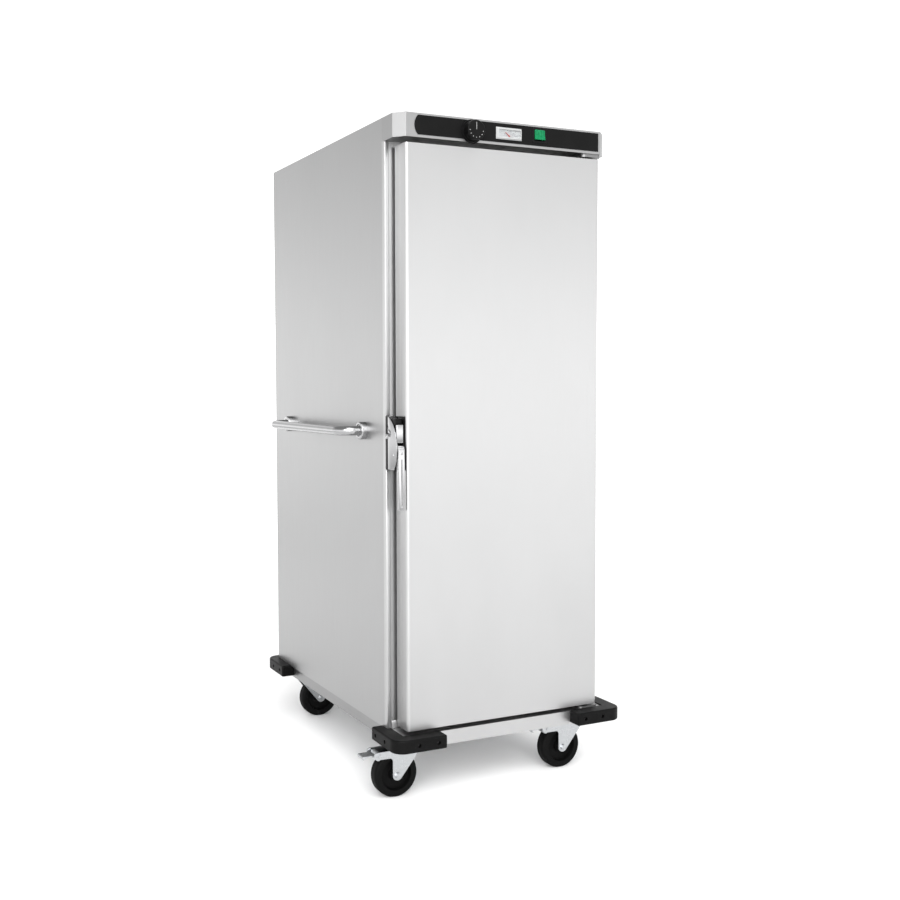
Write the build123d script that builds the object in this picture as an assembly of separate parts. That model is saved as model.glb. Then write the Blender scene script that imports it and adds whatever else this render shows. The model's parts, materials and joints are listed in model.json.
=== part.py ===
from build123d import *
import os
from math import atan2, cos, degrees, radians, sin, sqrt

# Heated banquet cart: an insulated upright cabinet with one full-height door, a control head
# over the door, tray runners inside, and a base with rubber corner bumpers on four swivel casters.
# X points right seen from the front, the front faces -Y and Z points up.
# The origin is on the floor, under the middle of the base. Sizes are in millimetres.

# Casters
wheel_diameter = 125.0
wheel_width = 36.0
wheel_edge_radius = 9.0
hub_length = 41.0
hub_radius = 17.0
wheel_web = 10.0
rim_depth = 19.0
axle_diameter = 8.0
running_clearance = 0.1
caster_trail = 44.0
caster_headroom = 30.0
caster_inset_side = 53.0
caster_inset_end = 76.5
swivel_head_radius = 29.5
fork_width = 50.0
fork_sheet = 3.5
fork_tip_radius = 14.0
fork_shelf_drop = 24.0
crown_gap = 11.3
race_radius = 24.0
race_gap = 0.4
king_pin_diameter = 12.0
king_pin_head = 22.0
wing_height = 20.0
wing_clearance = 5.5
plate_length = 100.0
plate_width = 85.0
plate_thickness = 4.0
plate_corner = 8.0
bolt_spacing_x = 78.0
bolt_spacing_y = 62.0
bolt_diameter = 8.0
bolt_head = 13.0
bolt_head_height = 5.0
bolt_clearance = 0.3
pedal_length = 45.0
pedal_width = 34.0
pedal_sheet = 3.0
pedal_pin_diameter = 8.0
pedal_gap = 0.6

# Base
base_side_inset = 10.0
base_front_step = 77.5
base_sheet = 2.0
skirt_height = 37.5
rail_height = 25.0
rail_width = 96.0
rail_end_gap = 3.0
bumper_leg = 150.0
bumper_thickness = 41.0
bumper_height = 35.5
bumper_rise = 2.5
bumper_corner = 35.0
bumper_edge = 4.5
bumper_screw_from_end = 25.0
bumper_screw_spacing = 57.0
screw_diameter = 5.0
screw_head = 8.6
screw_head_height = 3.5
screw_recess = 12.0
screw_clearance = 0.3
screw_tip = 2.0
bumper_notch = 0.5

# Cabinet body
body_width = 650.0
body_depth = 834.5
body_height = 1604.0
rear_overhang = 8.0
sheet = 1.2
flange = 20.0
roof_fold = 12.0
wall = 35.0
liner_sheet = 1.0
floor_thickness = 48.0
ceiling_depth = 110.0
ceiling_board = 40.0
board_gap = 0.4
frame_return = 13.0
frame_edge_radius = 2.5
frame_lap = 15.0
frame_lip = 20.0
opening_corner = 20.0

# Control head
head_height = 61.0
head_projection = 75.5
head_chamfer = 26.0
head_lap = 12.0
fascia_sheet = 1.5
fascia_left_inset = 50.1
fascia_right_inset = 33.8
fascia_bottom_inset = 6.7
fascia_top_inset = 5.0
fascia_end_radius = 35.0
knob_x = -108.0
knob_rise = 27.0
knob_diameter = 54.0
knob_face_diameter = 51.0
knob_depth = 24.0
knob_skirt_diameter = 62.0
knob_skirt_depth = 2.6
knob_standoff = 0.6
shaft_diameter = 6.0
thermostat_size = 44.0
thermostat_depth = 40.0
thermometer_x = 4.0
thermometer_rise = 30.5
thermometer_width = 79.0
thermometer_height = 31.5
bezel_depth = 4.5
bezel_slope = 3.0
bezel_rim = 6.0
thermometer_depth = 24.0
dial_recess = 3.6
dial_sheet = 0.8
glass_sheet = 1.0
pointer_length = 15.0
rocker_x = 98.9
rocker_rise = 34.0
rocker_width = 31.4
rocker_height = 28.0
rocker_rim = 6.0
rocker_depth = 26.0
rocker_pivot_depth = 3.0
rocker_tilt = 7.0
cut_clearance = 0.4

# Door
door_reveal = 26.3
door_bottom_gap = 9.4
door_top_gap = 13.4
door_thickness = 60.7
door_gap = 10.6
door_edge_radius = 8.0
door_seam_depth = 31.0
door_cap_height = 20.0
door_cap_inset = 0.6
gasket_width = 16.0
gasket_inset = 8.0
gasket_relief = 0.4
hinge_from_side = 12.7
hinge_from_front = 20.8
hinge_pin_diameter = 10.0
bush_diameter = 16.0
bush_length = 16.0
bush_flange = 20.0
bush_flange_height = 1.6
hinge_plate_bottom = 4.0
hinge_plate_top = 8.5
hinge_plate_left = 42.0
hinge_plate_right = 20.0

# Door latch
latch_bottom = 876.0
latch_height = 139.0
latch_backing_width = 8.3
latch_keeper_depth = 14.0
latch_gap = 0.6
latch_case_front = 53.0
latch_cheek = 3.6
latch_block_bottom = 944.0
latch_pivot_z = 916.0
latch_pivot_depth = 49.5
latch_pin_diameter = 5.0
lever_bottom = 771.0
lever_top = 937.0
lever_depth = 24.0
lever_front = 80.5

# Side handles
handle_height = 972.0
handle_tube = 25.0
handle_tube_wall = 1.5
handle_standoff = 67.0
handle_bend = 40.0
handle_front_inset = 131.0
handle_rear_inset = 142.5
handle_flange_diameter = 50.0
handle_flange_sheet = 3.0
handle_collar_diameter = 30.0
handle_collar_height = 8.0

# Inside the cabinet
post_width = 30.0
post_sheet = 1.5
post_front_inset = 30.0
post_rear_inset = 145.0
runner_levels = 17
runner_first_rise = 85.0
runner_pitch = 75.0
runner_sheet = 1.5
runner_leg = 20.0
runner_overhang = 12.0
element_diameter = 8.0
element_rise = 18.0
element_runs = 4
element_pitch = 100.0
element_front_inset = 95.0
element_turn_inset = 90.0
guard_height = 36.0
guard_half_width = 215.0
guard_sheet = 1.5
guard_slots = 9
guard_slot_length = 120.0
guard_slot_width = 14.0
bulb_diameter = 9.0
bulb_length = 90.0
bulb_drop = 60.0
inlet_x = -200.0
inlet_width = 56.0
inlet_height = 36.0
inlet_depth = 30.0
inlet_flange = 6.0
terminal_width = 70.0
terminal_depth = 32.0
terminal_height = 20.0

# Places that follow from the sizes above
wheel_radius = wheel_diameter / 2
caster_top = wheel_diameter + caster_headroom
body_bottom = caster_top + rail_height + base_sheet
body_top = body_bottom + body_height
half_width = body_width / 2
base_half = half_width - base_side_inset
base_rear = (body_depth - rear_overhang + base_front_step) / 2
base_front = -base_rear
body_rear = base_rear + rear_overhang
frame_face = body_rear - body_depth
seam = frame_face + frame_return
inner_half = half_width - sheet
liner_half = half_width - wall
opening_half = liner_half - frame_lip
liner_rear = body_rear - wall
liner_floor_z = body_bottom + floor_thickness
liner_ceiling_z = body_top - ceiling_depth
head_bottom = body_top - head_height
head_front = frame_face - head_projection
opening_bottom = liner_floor_z + frame_lip
opening_top = liner_ceiling_z - frame_lip
service_z = liner_ceiling_z + ceiling_board
caster_x = base_half - caster_inset_side
caster_y = base_rear - caster_inset_end
door_half = half_width - door_reveal
door_bottom = body_bottom + door_bottom_gap
door_top = head_bottom - door_top_gap
door_back = frame_face - door_gap
door_front = door_back - door_thickness
door_seam = door_front + door_seam_depth
hinge_x = door_half - hinge_from_side
hinge_y = door_front + hinge_from_front
fascia_front = head_front - fascia_sheet
knob_z = head_bottom + knob_rise
thermometer_z = head_bottom + thermometer_rise
rocker_z = head_bottom + rocker_rise
latch_top = latch_bottom + latch_height
rail_bottom = caster_top


# Shape helpers

def block(x, y, z):
    """A box from its low and high place along each axis."""
    size = Box(x[1] - x[0], y[1] - y[0], z[1] - z[0])
    return Pos((x[0] + x[1]) / 2, (y[0] + y[1]) / 2, (z[0] + z[1]) / 2) * size


def both_sides(part):
    """The part and its mirror image across the middle of the cart."""
    return [part, mirror(part, about=Plane.YZ)]


def outline(*points):
    """A flat face with straight sides through the given points."""
    return make_face(Polyline(*points, close=True))


def plate_face(u, v):
    """A rectangle from its low and high place along both directions."""
    return Pos((u[0] + u[1]) / 2, (v[0] + v[1]) / 2) * Rectangle(u[1] - u[0], v[1] - v[0])


def prism_x(face, x0, x1):
    """A face drawn in Y and Z, drawn out from x0 to x1."""
    return extrude(Plane.YZ.offset(x0) * face, x1 - x0)


def prism_y(face, y0, y1):
    """A face drawn in X and Z, drawn out from y0 to y1."""
    return extrude(Plane.XZ.offset(-y1) * face, y1 - y0)


def prism_z(face, z0, z1):
    """A face drawn in X and Y, drawn out from z0 to z1."""
    return extrude(Plane.XY.offset(z0) * face, z1 - z0)


def rod_x(radius, x0, x1, y, z):
    return prism_x(Pos(y, z) * Circle(radius), x0, x1)


def rod_y(radius, x, y0, y1, z):
    return prism_y(Pos(x, z) * Circle(radius), y0, y1)


def rod_z(radius, x, y, z0, z1):
    return prism_z(Pos(x, y) * Circle(radius), z0, z1)


def round_near(face, radius, *points):
    """Rounds the corners of a face that lie nearest to the given points."""
    corners = [face.vertices().sort_by_distance((point[0], point[1], 0))[0] for point in points]
    return fillet(corners, radius)


def tangent_from(point, centre, radius, side):
    """Where a line from the point touches the circle, on the side given by +1 or -1."""
    dx = point[0] - centre[0]
    dy = point[1] - centre[1]
    distance = sqrt(dx * dx + dy * dy)
    along = radius * radius / distance
    across = side * radius * sqrt(distance * distance - radius * radius) / distance
    return (centre[0] + (along * dx - across * dy) / distance,
            centre[1] + (along * dy + across * dx) / distance)


# Base

def base_chassis():
    """A folded tray turned upside down, with its skirt holed for the bumper screws."""
    top = body_bottom
    outer = block((-base_half, base_half), (base_front, base_rear), (top - skirt_height, top))
    inside = block((-base_half + base_sheet, base_half - base_sheet),
                   (base_front + base_sheet, base_rear - base_sheet),
                   (top - skirt_height - 1, top - base_sheet))
    tray = outer - inside
    for place in bumper_screw_places():
        tray -= place * rod_z(screw_diameter / 2 + screw_clearance, 0, 0, -base_sheet - 1, 1)
    return tray


def caster_rails():
    """Two channels under the deck that stiffen it and carry the caster plates."""
    z0 = rail_bottom
    z1 = body_bottom - base_sheet
    y_end = base_rear - base_sheet - rail_end_gap
    rail = block((caster_x - rail_width / 2, caster_x + rail_width / 2), (-y_end, y_end), (z0, z1))
    rail -= block((caster_x - rail_width / 2 + base_sheet, caster_x + rail_width / 2 - base_sheet),
                  (-y_end - 1, y_end + 1), (z0 + base_sheet, z1 + 1))
    for y in (-caster_y, caster_y):
        for bx, by in bolt_places():
            rail -= rod_z(bolt_diameter / 2 + bolt_clearance, caster_x + bx, y + by,
                          z0 - 1, z0 + base_sheet + 1)
    return both_sides(rail)


def bumper_screw_places():
    """Places on the skirt's outside, each with its own Z pointing out of the skirt."""
    z = body_bottom + bumper_rise - bumper_height / 2
    places = []
    for i in range(2):
        from_corner = bumper_leg - bumper_thickness - bumper_screw_from_end - i * bumper_screw_spacing
        for sx in (-1, 1):
            for sy in (-1, 1):
                places.append(Pos(sx * base_half, sy * (base_rear - from_corner), z)
                              * Rot(0, sx * 90, 0))
                places.append(Pos(sx * (base_half - from_corner), sy * base_rear, z)
                              * Rot(-sy * 90, 0, 0))
    return places


def corner_bumper():
    """The rubber bumper of the right rear corner."""
    x0 = base_half
    y0 = base_rear
    x1 = x0 + bumper_thickness
    y1 = y0 + bumper_thickness
    face = outline((x1, y1), (x1 - bumper_leg, y1), (x1 - bumper_leg, y0), (x0, y0),
                   (x0, y1 - bumper_leg), (x1, y1 - bumper_leg))
    face = round_near(face, bumper_corner, (x1, y1))
    z1 = body_bottom + bumper_rise
    z0 = z1 - bumper_height
    bumper = prism_z(face, z0, z1)
    outside = [edge for edge in bumper.edges()
               if edge.center().X > x0 + 1 or edge.center().Y > y0 + 1]
    return fillet(outside, bumper_edge)


def corner_bumpers():
    """Four bumpers, notched under the body, with their stepped screw holes."""
    corner = corner_bumper()
    front = mirror(corner, about=Plane.XZ)
    bumpers = both_sides(corner) + both_sides(front)
    body = block((-half_width - bumper_notch, half_width + bumper_notch),
                 (frame_face - bumper_notch, body_rear + bumper_notch),
                 (body_bottom - 0.1, body_bottom + bumper_height))
    holed = []
    for bumper in bumpers:
        bumper -= body
        middle = bumper.bounding_box().center()
        for place in bumper_screw_places():
            if place.position.X * middle.X > 0 and place.position.Y * middle.Y > 0:
                bumper -= place * rod_z(screw_diameter / 2 + screw_clearance, 0, 0,
                                        -1, bumper_thickness + 1)
                bumper -= place * rod_z(screw_head / 2 + 1, 0, 0,
                                        bumper_thickness - screw_recess, bumper_thickness + 1)
        holed.append(bumper)
    return holed


def bumper_screws():
    """Pan-head screws, sunk in the bumpers and driven through the skirt."""
    seat = bumper_thickness - screw_recess
    screw = rod_z(screw_diameter / 2, 0, 0, -base_sheet - screw_tip, seat)
    screw += rod_z(screw_head / 2, 0, 0, seat, seat + screw_head_height)
    return [place * screw for place in bumper_screw_places()]


# Casters, drawn round their own swivel axis with the wheel trailing towards -X

def bolt_places():
    return [(sx * bolt_spacing_x / 2, sy * bolt_spacing_y / 2) for sx in (-1, 1) for sy in (-1, 1)]


def caster_spots():
    """Name, swivel place, the way the wheel trails, and whether it has a brake."""
    return [("front_left", -caster_x, -caster_y, -1, True),
            ("front_right", caster_x, -caster_y, -1, True),
            ("rear_left", -caster_x, caster_y, 1, False),
            ("rear_right", caster_x, caster_y, 1, False)]


def caster_place(x, y, trail_way):
    return Pos(x, y, 0) * Rot(0, 0, 0 if trail_way < 0 else 180)


def caster_plate():
    """The top plate with its upper race and the king pin riveted into it."""
    face = RectangleRounded(plate_length, plate_width, plate_corner)
    plate = prism_z(face, caster_top - plate_thickness, caster_top)
    for x, y in bolt_places():
        plate -= rod_z(bolt_diameter / 2 + bolt_clearance, x, y, caster_top - plate_thickness - 1,
                       caster_top + 1)
    crown_top = caster_top - crown_gap
    plate += rod_z(race_radius, 0, 0, crown_top + race_gap, caster_top - plate_thickness)
    pin_foot = crown_top - fork_sheet - race_gap
    plate += rod_z(king_pin_diameter / 2, 0, 0, pin_foot - 1, caster_top - plate_thickness)
    plate += rod_z(king_pin_head / 2, 0, 0, pin_foot - 4, pin_foot)
    return plate


def caster_plates():
    plate = caster_plate()
    return [caster_place(x, y, way) * plate for name, x, y, way, braked in caster_spots()]


def caster_bolts():
    """Hexagon bolts that hold the plates to the rails."""
    hexagon = RegularPolygon(bolt_head / 2, 6, major_radius=False, rotation=30)
    head = prism_z(hexagon,
                   caster_top - plate_thickness - bolt_head_height, caster_top - plate_thickness)
    shank = rod_z(bolt_diameter / 2, 0, 0, caster_top - plate_thickness, caster_top + base_sheet + 2)
    nut = prism_z(hexagon,
                  caster_top + base_sheet, caster_top + base_sheet + bolt_head_height)
    bolt = head + shank + nut
    bolts = []
    for name, x, y, way, braked in caster_spots():
        for bx, by in bolt_places():
            bolts.append(Pos(x + bx, y + by, 0) * bolt)
    return bolts


def fork_reach(braked):
    """How far the fork's cheeks go behind the swivel axis."""
    if braked:
        return caster_trail + wheel_radius + wing_clearance
    return caster_trail + fork_tip_radius + 2


def fork_outline(braked):
    """The fork from the side: head, sloping front edge, tip round the axle, and brake wing."""
    top = caster_top - crown_gap
    shelf = caster_top - fork_shelf_drop
    nose = swivel_head_radius
    back = -caster_trail - fork_tip_radius
    reach = -fork_reach(braked)
    axle = (-caster_trail, wheel_radius)
    brow = (nose, shelf)
    touch = tangent_from(brow, axle, fork_tip_radius, -1)
    points = [(nose, top), (-nose, top), (-nose, shelf), (reach, shelf)]
    if braked:
        points += [(reach, shelf - wing_height), (back, shelf - wing_height)]
        face = outline(*points, (back, wheel_radius), axle, touch, brow)
        face = round_near(face, wing_height / 2 - 0.5, (reach, shelf), (reach, shelf - wing_height))
        face = round_near(face, wing_height / 2, (back, shelf - wing_height))
    else:
        points[-1] = (back, shelf)
        face = outline(*points, (back, wheel_radius), axle, touch, brow)
        face = round_near(face, fork_tip_radius, (back, shelf))
    return face + Pos(*axle) * Circle(fork_tip_radius)


def caster_fork(braked):
    """A pressed fork: a round head on two cheeks, with the axle bolt through the cheeks."""
    top = caster_top - crown_gap
    shelf = caster_top - fork_shelf_drop
    half = fork_width / 2
    shell = prism_y(fork_outline(braked), -half, half)
    nose = swivel_head_radius
    far = nose + fork_reach(True) + 10
    inner_half_width = half - fork_sheet
    shell -= block((-nose + fork_sheet, nose - fork_sheet), (-inner_half_width, inner_half_width),
                   (0, top - fork_sheet))
    shell -= block((-far, -nose + fork_sheet + 1), (-inner_half_width, inner_half_width),
                   (0, shelf - fork_sheet))
    shell -= block((-far, -caster_trail - fork_tip_radius - 2),
                   (-inner_half_width, inner_half_width), (0, shelf + 1))
    head_trim = block((0, nose + 1), (-half - 1, half + 1), (0, top + 1)) - rod_z(nose, 0, 0, 0, top + 1)
    shell -= head_trim
    shell += rod_z(nose, 0, 0, top - fork_sheet, top)
    shell -= rod_z(king_pin_diameter / 2 + running_clearance, 0, 0, top - fork_sheet - 1, top + 1)
    shell -= rod_y(axle_diameter / 2 + cut_clearance, -caster_trail, -half - 1, half + 1, wheel_radius)
    if braked:
        pin_x, pin_z = pedal_pin_place()
        shell -= rod_y(pedal_pin_diameter / 2 + running_clearance, pin_x, -half - 1, half + 1, pin_z)
    return shell


def caster_axle():
    """The axle bolt with its head and nut outside the fork's cheeks."""
    half = fork_width / 2
    bolt = rod_y(axle_diameter / 2, -caster_trail, -half - 6, half + 6, wheel_radius)
    hexagon = RegularPolygon(bolt_head / 2, 6, major_radius=False)
    spot = Pos(-caster_trail, wheel_radius)
    bolt += prism_y(spot * hexagon, -half - 5, -half)
    bolt += prism_y(spot * hexagon, half, half + 5)
    return bolt


def caster_wheel():
    """A dished wheel with its tyre, turned round the axle."""
    bore = axle_diameter / 2 + running_clearance
    half = wheel_width / 2
    hub = hub_length / 2
    web = wheel_web / 2
    rim = wheel_radius - rim_depth
    section = outline((bore, -hub), (hub_radius, -hub), (hub_radius + 2, -web), (rim - 3, -web),
                      (rim, -half), (wheel_radius, -half), (wheel_radius, half), (rim, half),
                      (rim - 3, web), (hub_radius + 2, web), (hub_radius, hub), (bore, hub))
    section = round_near(section, wheel_edge_radius, (wheel_radius, -half), (wheel_radius, half))
    wheel = revolve(section, Axis.Y)
    return Pos(-caster_trail, 0, wheel_radius) * wheel


def pedal_pin_place():
    """The brake pedal's pin, in the middle of the wing's round end."""
    return (-fork_reach(True) + wing_height * 0.8,
            caster_top - fork_shelf_drop - wing_height / 2)


def brake_pedal():
    """A pressed pedal: barrel on the pin, brake shoe, tread plate and a curled lip."""
    pin_x, pin_z = pedal_pin_place()
    half = pedal_width / 2
    barrel = pedal_pin_diameter / 2 + 3.5
    tread_top = pin_z + 2
    tip = pin_x - pedal_length + pedal_sheet
    face = Pos(pin_x, pin_z) * Circle(barrel)
    face += outline((pin_x, tread_top), (tip, tread_top), (tip, tread_top - pedal_sheet),
                    (pin_x, tread_top - pedal_sheet))
    curl = Pos(tip, tread_top - pedal_sheet * 1.6) * (Circle(pedal_sheet * 1.6) - Circle(pedal_sheet * 0.6))
    curl &= plate_face((tip - pedal_sheet * 2, tip), (pin_z - 20, pin_z + 20))
    face += curl
    shoe_foot = pin_z - wing_height * 0.75
    face += outline((pin_x - 5, pin_z), (pin_x - 3, shoe_foot), (pin_x + 3, shoe_foot), (pin_x + 5, pin_z))
    pedal = prism_y(face, -half, half)
    pin = rod_y(pedal_pin_diameter / 2, pin_x, -fork_width / 2 - 2, fork_width / 2 + 2, pin_z)
    return pedal + pin


# Cabinet body

def side_panel():
    """The right side sheet with a foot flange on the deck."""
    panel = block((inner_half, half_width), (seam, body_rear), (body_bottom, body_top))
    foot = block((half_width - flange, half_width), (seam + frame_lap + 1, body_rear - flange),
                 (body_bottom, body_bottom + sheet))
    return panel + foot


def rear_panel():
    """The rear sheet between the sides, flanged forwards, with the power inlet's hole."""
    y1 = body_rear
    z1 = body_top - sheet
    panel = block((-inner_half, inner_half), (y1 - sheet, y1), (body_bottom, z1))
    fold = block((inner_half - sheet, inner_half), (y1 - flange, y1),
                 (body_bottom + sheet, z1 - flange))
    for side in both_sides(fold):
        panel += side
    panel -= block((inlet_x - inlet_width / 2 - cut_clearance, inlet_x + inlet_width / 2 + cut_clearance),
                   (y1 - sheet - 1, y1 + 1),
                   (inlet_z() - inlet_height / 2 - cut_clearance, inlet_z() + inlet_height / 2 + cut_clearance))
    return panel


def top_panel():
    """The roof sheet with its edges folded down inside the sides and the rear."""
    y0 = seam + head_lap + 1
    y1 = body_rear - sheet
    z1 = body_top
    panel = block((-inner_half, inner_half), (seam, body_rear), (z1 - sheet, z1))
    fold = block((inner_half - sheet, inner_half), (y0, y1 - flange - 1), (z1 - roof_fold, z1))
    for side in both_sides(fold):
        panel += side
    panel += block((-inner_half + flange, inner_half - flange), (y1 - sheet, y1), (z1 - roof_fold, z1))
    return panel


def frame_opening(grow):
    """The rounded opening of the front frame, drawn in X and Z."""
    width = 2 * (opening_half + grow)
    height = opening_top - opening_bottom + 2 * grow
    return Pos(0, (opening_top + opening_bottom) / 2) * RectangleRounded(width, height, opening_corner + grow)


def front_frame():
    """The sheet ring that the door closes on, joggled to lap inside the sides."""
    plan = outline((-half_width, frame_face), (half_width, frame_face), (half_width, seam), (-half_width, seam))
    plan = round_near(plan, frame_edge_radius, (-half_width, frame_face), (half_width, frame_face))
    ring = prism_z(plan, body_bottom, head_bottom)
    ring -= prism_y(frame_opening(0), frame_face - 1, seam + 1)
    hollow = block((-inner_half, inner_half), (frame_face + sheet, seam + 1),
                   (body_bottom + sheet, head_bottom - sheet))
    ring -= hollow - prism_y(frame_opening(sheet), frame_face, seam + 2)
    joggle = block((inner_half - sheet, half_width), (seam - sheet, seam),
                   (body_bottom + sheet + 1, head_bottom - sheet - 1))
    lap = block((inner_half - sheet, inner_half), (seam - sheet, seam + frame_lap),
                (body_bottom + sheet + 1, head_bottom - sheet - 1))
    for side in both_sides(joggle + lap):
        ring += side
    return ring


def liner_sides():
    """The two inner side sheets."""
    liner = block((liner_half, liner_half + liner_sheet), (frame_face + sheet, liner_rear + liner_sheet),
                  (liner_floor_z - liner_sheet, liner_ceiling_z + liner_sheet))
    return both_sides(liner)


def liner_rear_sheet():
    return block((-liner_half, liner_half), (liner_rear, liner_rear + liner_sheet),
                 (liner_floor_z, liner_ceiling_z))


def liner_floor():
    return block((-liner_half, liner_half), (frame_face + sheet, liner_rear + liner_sheet),
                 (liner_floor_z - liner_sheet, liner_floor_z))


def liner_ceiling():
    return block((-liner_half, liner_half), (frame_face + sheet, liner_rear + liner_sheet),
                 (liner_ceiling_z, liner_ceiling_z + liner_sheet))


def insulation_boards():
    """Boards in the two sides, the rear, the floor and the ceiling."""
    gap = board_gap
    outer = inner_half - sheet - gap
    inner = liner_half + liner_sheet + gap
    front = seam + gap
    low = body_bottom + sheet + gap
    high = service_z
    split = liner_rear + liner_sheet + gap
    side = block((inner, outer), (front, body_rear - flange - gap), (low, high))
    rear = block((-inner + gap, inner - gap), (split, body_rear - sheet - gap), (low, high))
    floor = block((-inner + gap, inner - gap), (front, split - gap), (low, liner_floor_z - liner_sheet - gap))
    ceiling = block((-inner + gap, inner - gap), (front, split - gap), (liner_ceiling_z + liner_sheet + gap, high))
    return both_sides(side) + [rear, floor, ceiling]


def service_deck():
    """A sheet over the insulation that carries the wiring."""
    y1 = body_rear - flange - 1
    return block((-inner_half + sheet + 1, inner_half - sheet - 1), (seam + frame_lap + 1, y1),
                 (service_z, service_z + sheet))


# Control head

def head_plan(inset, rear):
    """The head from above: flat front with two cut corners, open to the rear."""
    x = half_width - inset
    y = head_front + inset
    cut = head_chamfer - inset * (2 - sqrt(2))
    return outline((-x, rear), (-x, y + cut), (-x + cut, y), (x - cut, y), (x, y + cut), (x, rear))


def head_housing():
    """The folded head with holes for the controls and laps under the roof and sides."""
    shell = prism_z(head_plan(0, seam), head_bottom, body_top)
    shell -= prism_z(head_plan(sheet, seam + 1), head_bottom + sheet, body_top - sheet)
    lap_roof = block((-inner_half + flange, inner_half - flange), (seam - 10, seam + head_lap),
                     (body_top - 2 * sheet, body_top - sheet))
    shell += lap_roof
    lap_side = block((inner_half - sheet, inner_half), (seam - 10, seam + head_lap),
                     (head_bottom + sheet, body_top - flange))
    for side in both_sides(lap_side):
        shell += side
    back = head_front + sheet + 1
    shell -= rod_y(shaft_diameter / 2 + 1.5, knob_x, head_front - 1, back, knob_z)
    shell -= prism_y(thermometer_face(-bezel_rim / 2 + cut_clearance), head_front - 1, back)
    shell -= prism_y(rocker_face(1.5 + cut_clearance), head_front - 1, back)
    return shell


def control_fascia():
    """The black plate over the head's front, with one bowed end and cut for the controls."""
    x0 = -half_width + fascia_left_inset
    x1 = half_width - fascia_right_inset
    z0 = head_bottom + fascia_bottom_inset
    z1 = body_top - fascia_top_inset
    half = (z1 - z0) / 2
    radius = max(fascia_end_radius, half * 1.05)
    bow = radius - sqrt(radius * radius - half * half)
    middle = (z0 + z1) / 2
    edge = (Line((x0 + bow, z0), (x1, z0)) + Line((x1, z0), (x1, z1)) + Line((x1, z1), (x0 + bow, z1))
            + ThreePointArc((x0 + bow, z1), (x0, middle), (x0 + bow, z0)))
    plate = prism_y(make_face(edge), fascia_front, head_front)
    plate -= rod_y(shaft_diameter / 2 + 1.5, knob_x, fascia_front - 1, head_front + 1, knob_z)
    plate -= prism_y(thermometer_face(-bezel_rim / 2 + cut_clearance), fascia_front - 1, head_front + 1)
    plate -= prism_y(rocker_face(1.5 + cut_clearance), fascia_front - 1, head_front + 1)
    return plate


def thermostat_body():
    """The thermostat behind the knob, with its threaded neck in the head's front."""
    y0 = head_front + sheet
    half = thermostat_size / 2
    body = block((knob_x - half, knob_x + half), (y0, y0 + thermostat_depth), (knob_z - half + 5, knob_z + half - 5))
    body += rod_y(shaft_diameter / 2 + 1, knob_x, fascia_front, y0, knob_z)
    bore = shaft_diameter / 2 + running_clearance
    return body - rod_y(bore, knob_x, fascia_front - 1, y0 + 12, knob_z)


def thermostat_knob():
    """A turned knob with a wide skirt, a tapered grip, a dished face and its shaft."""
    back = 0
    skirt = knob_skirt_diameter / 2
    grip = knob_diameter / 2
    face = knob_face_diameter / 2
    section = outline((0, back), (skirt, back), (skirt - 1, knob_skirt_depth), (grip, knob_skirt_depth),
                      (face, knob_depth), (0, knob_depth))
    section = round_near(section, 2, (face, knob_depth))
    knob = revolve(Plane.XY * section, Axis.Y)
    knob += rod_y(shaft_diameter / 2, 0, -(knob_standoff + fascia_sheet + sheet + 10), 1, 0)
    return Pos(knob_x, fascia_front - knob_standoff, knob_z) * Rot(0, 0, 180) * knob


def thermometer_face(grow):
    """The thermometer's rectangle in X and Z, grown or shrunk on every side."""
    width = thermometer_width + 2 * grow
    height = thermometer_height + 2 * grow
    return Pos(thermometer_x, thermometer_z) * RectangleRounded(width, height, 2)


def thermometer_case():
    """The white bezel with sloping sides, and the case behind it."""
    front = fascia_front - bezel_depth
    foot = thermometer_face(0)
    brow = thermometer_face(-bezel_slope)
    bezel = loft([Plane.XZ.offset(-fascia_front) * foot, Plane.XZ.offset(-front) * brow])
    case = bezel + prism_y(thermometer_face(-bezel_rim / 2), fascia_front, fascia_front + thermometer_depth)
    return case - prism_y(thermometer_face(-bezel_rim), front - 1, front + dial_recess)


def thermometer_dial():
    y1 = fascia_front - bezel_depth + dial_recess
    return prism_y(thermometer_face(-bezel_rim - 0.2), y1 - dial_sheet, y1)


def thermometer_window():
    y0 = fascia_front - bezel_depth
    return prism_y(thermometer_face(-bezel_rim - 0.2), y0 + 0.3, y0 + 0.3 + glass_sheet)


def pointer_place():
    """The pointer's axis, near the foot of the dial."""
    return (thermometer_x, thermometer_z - thermometer_height / 2 + bezel_rim + 3)


def thermometer_pointer():
    """A thin pointer between the dial and its window, at the low end of its sweep."""
    x, z = pointer_place()
    y1 = fascia_front - bezel_depth + dial_recess - dial_sheet - 0.3
    y0 = y1 - 0.6
    hand = outline((-1.1, 0), (1.1, 0), (0.4, pointer_length), (-0.4, pointer_length)) + Circle(1.8)
    return prism_y(Pos(x, z) * Rot(0, 0, 50) * hand, y0, y1)


def rocker_face(grow):
    """The rocker's rectangle in X and Z, grown on every side."""
    return Pos(rocker_x, rocker_z) * Rectangle(rocker_width + 2 * grow, rocker_height + 2 * grow)


def rocker_housing():
    """The switch body and its black rim, with a well for the rocker."""
    rim = prism_y(rocker_face(rocker_rim), fascia_front - 2.2, fascia_front)
    rim = chamfer(rim.faces().sort_by(Axis.Y)[0].edges(), 1.2)
    body = prism_y(rocker_face(1.5), fascia_front, fascia_front + rocker_depth)
    well = prism_y(rocker_face(cut_clearance), fascia_front - 5, fascia_front + 12)
    return rim + body - well


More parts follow.
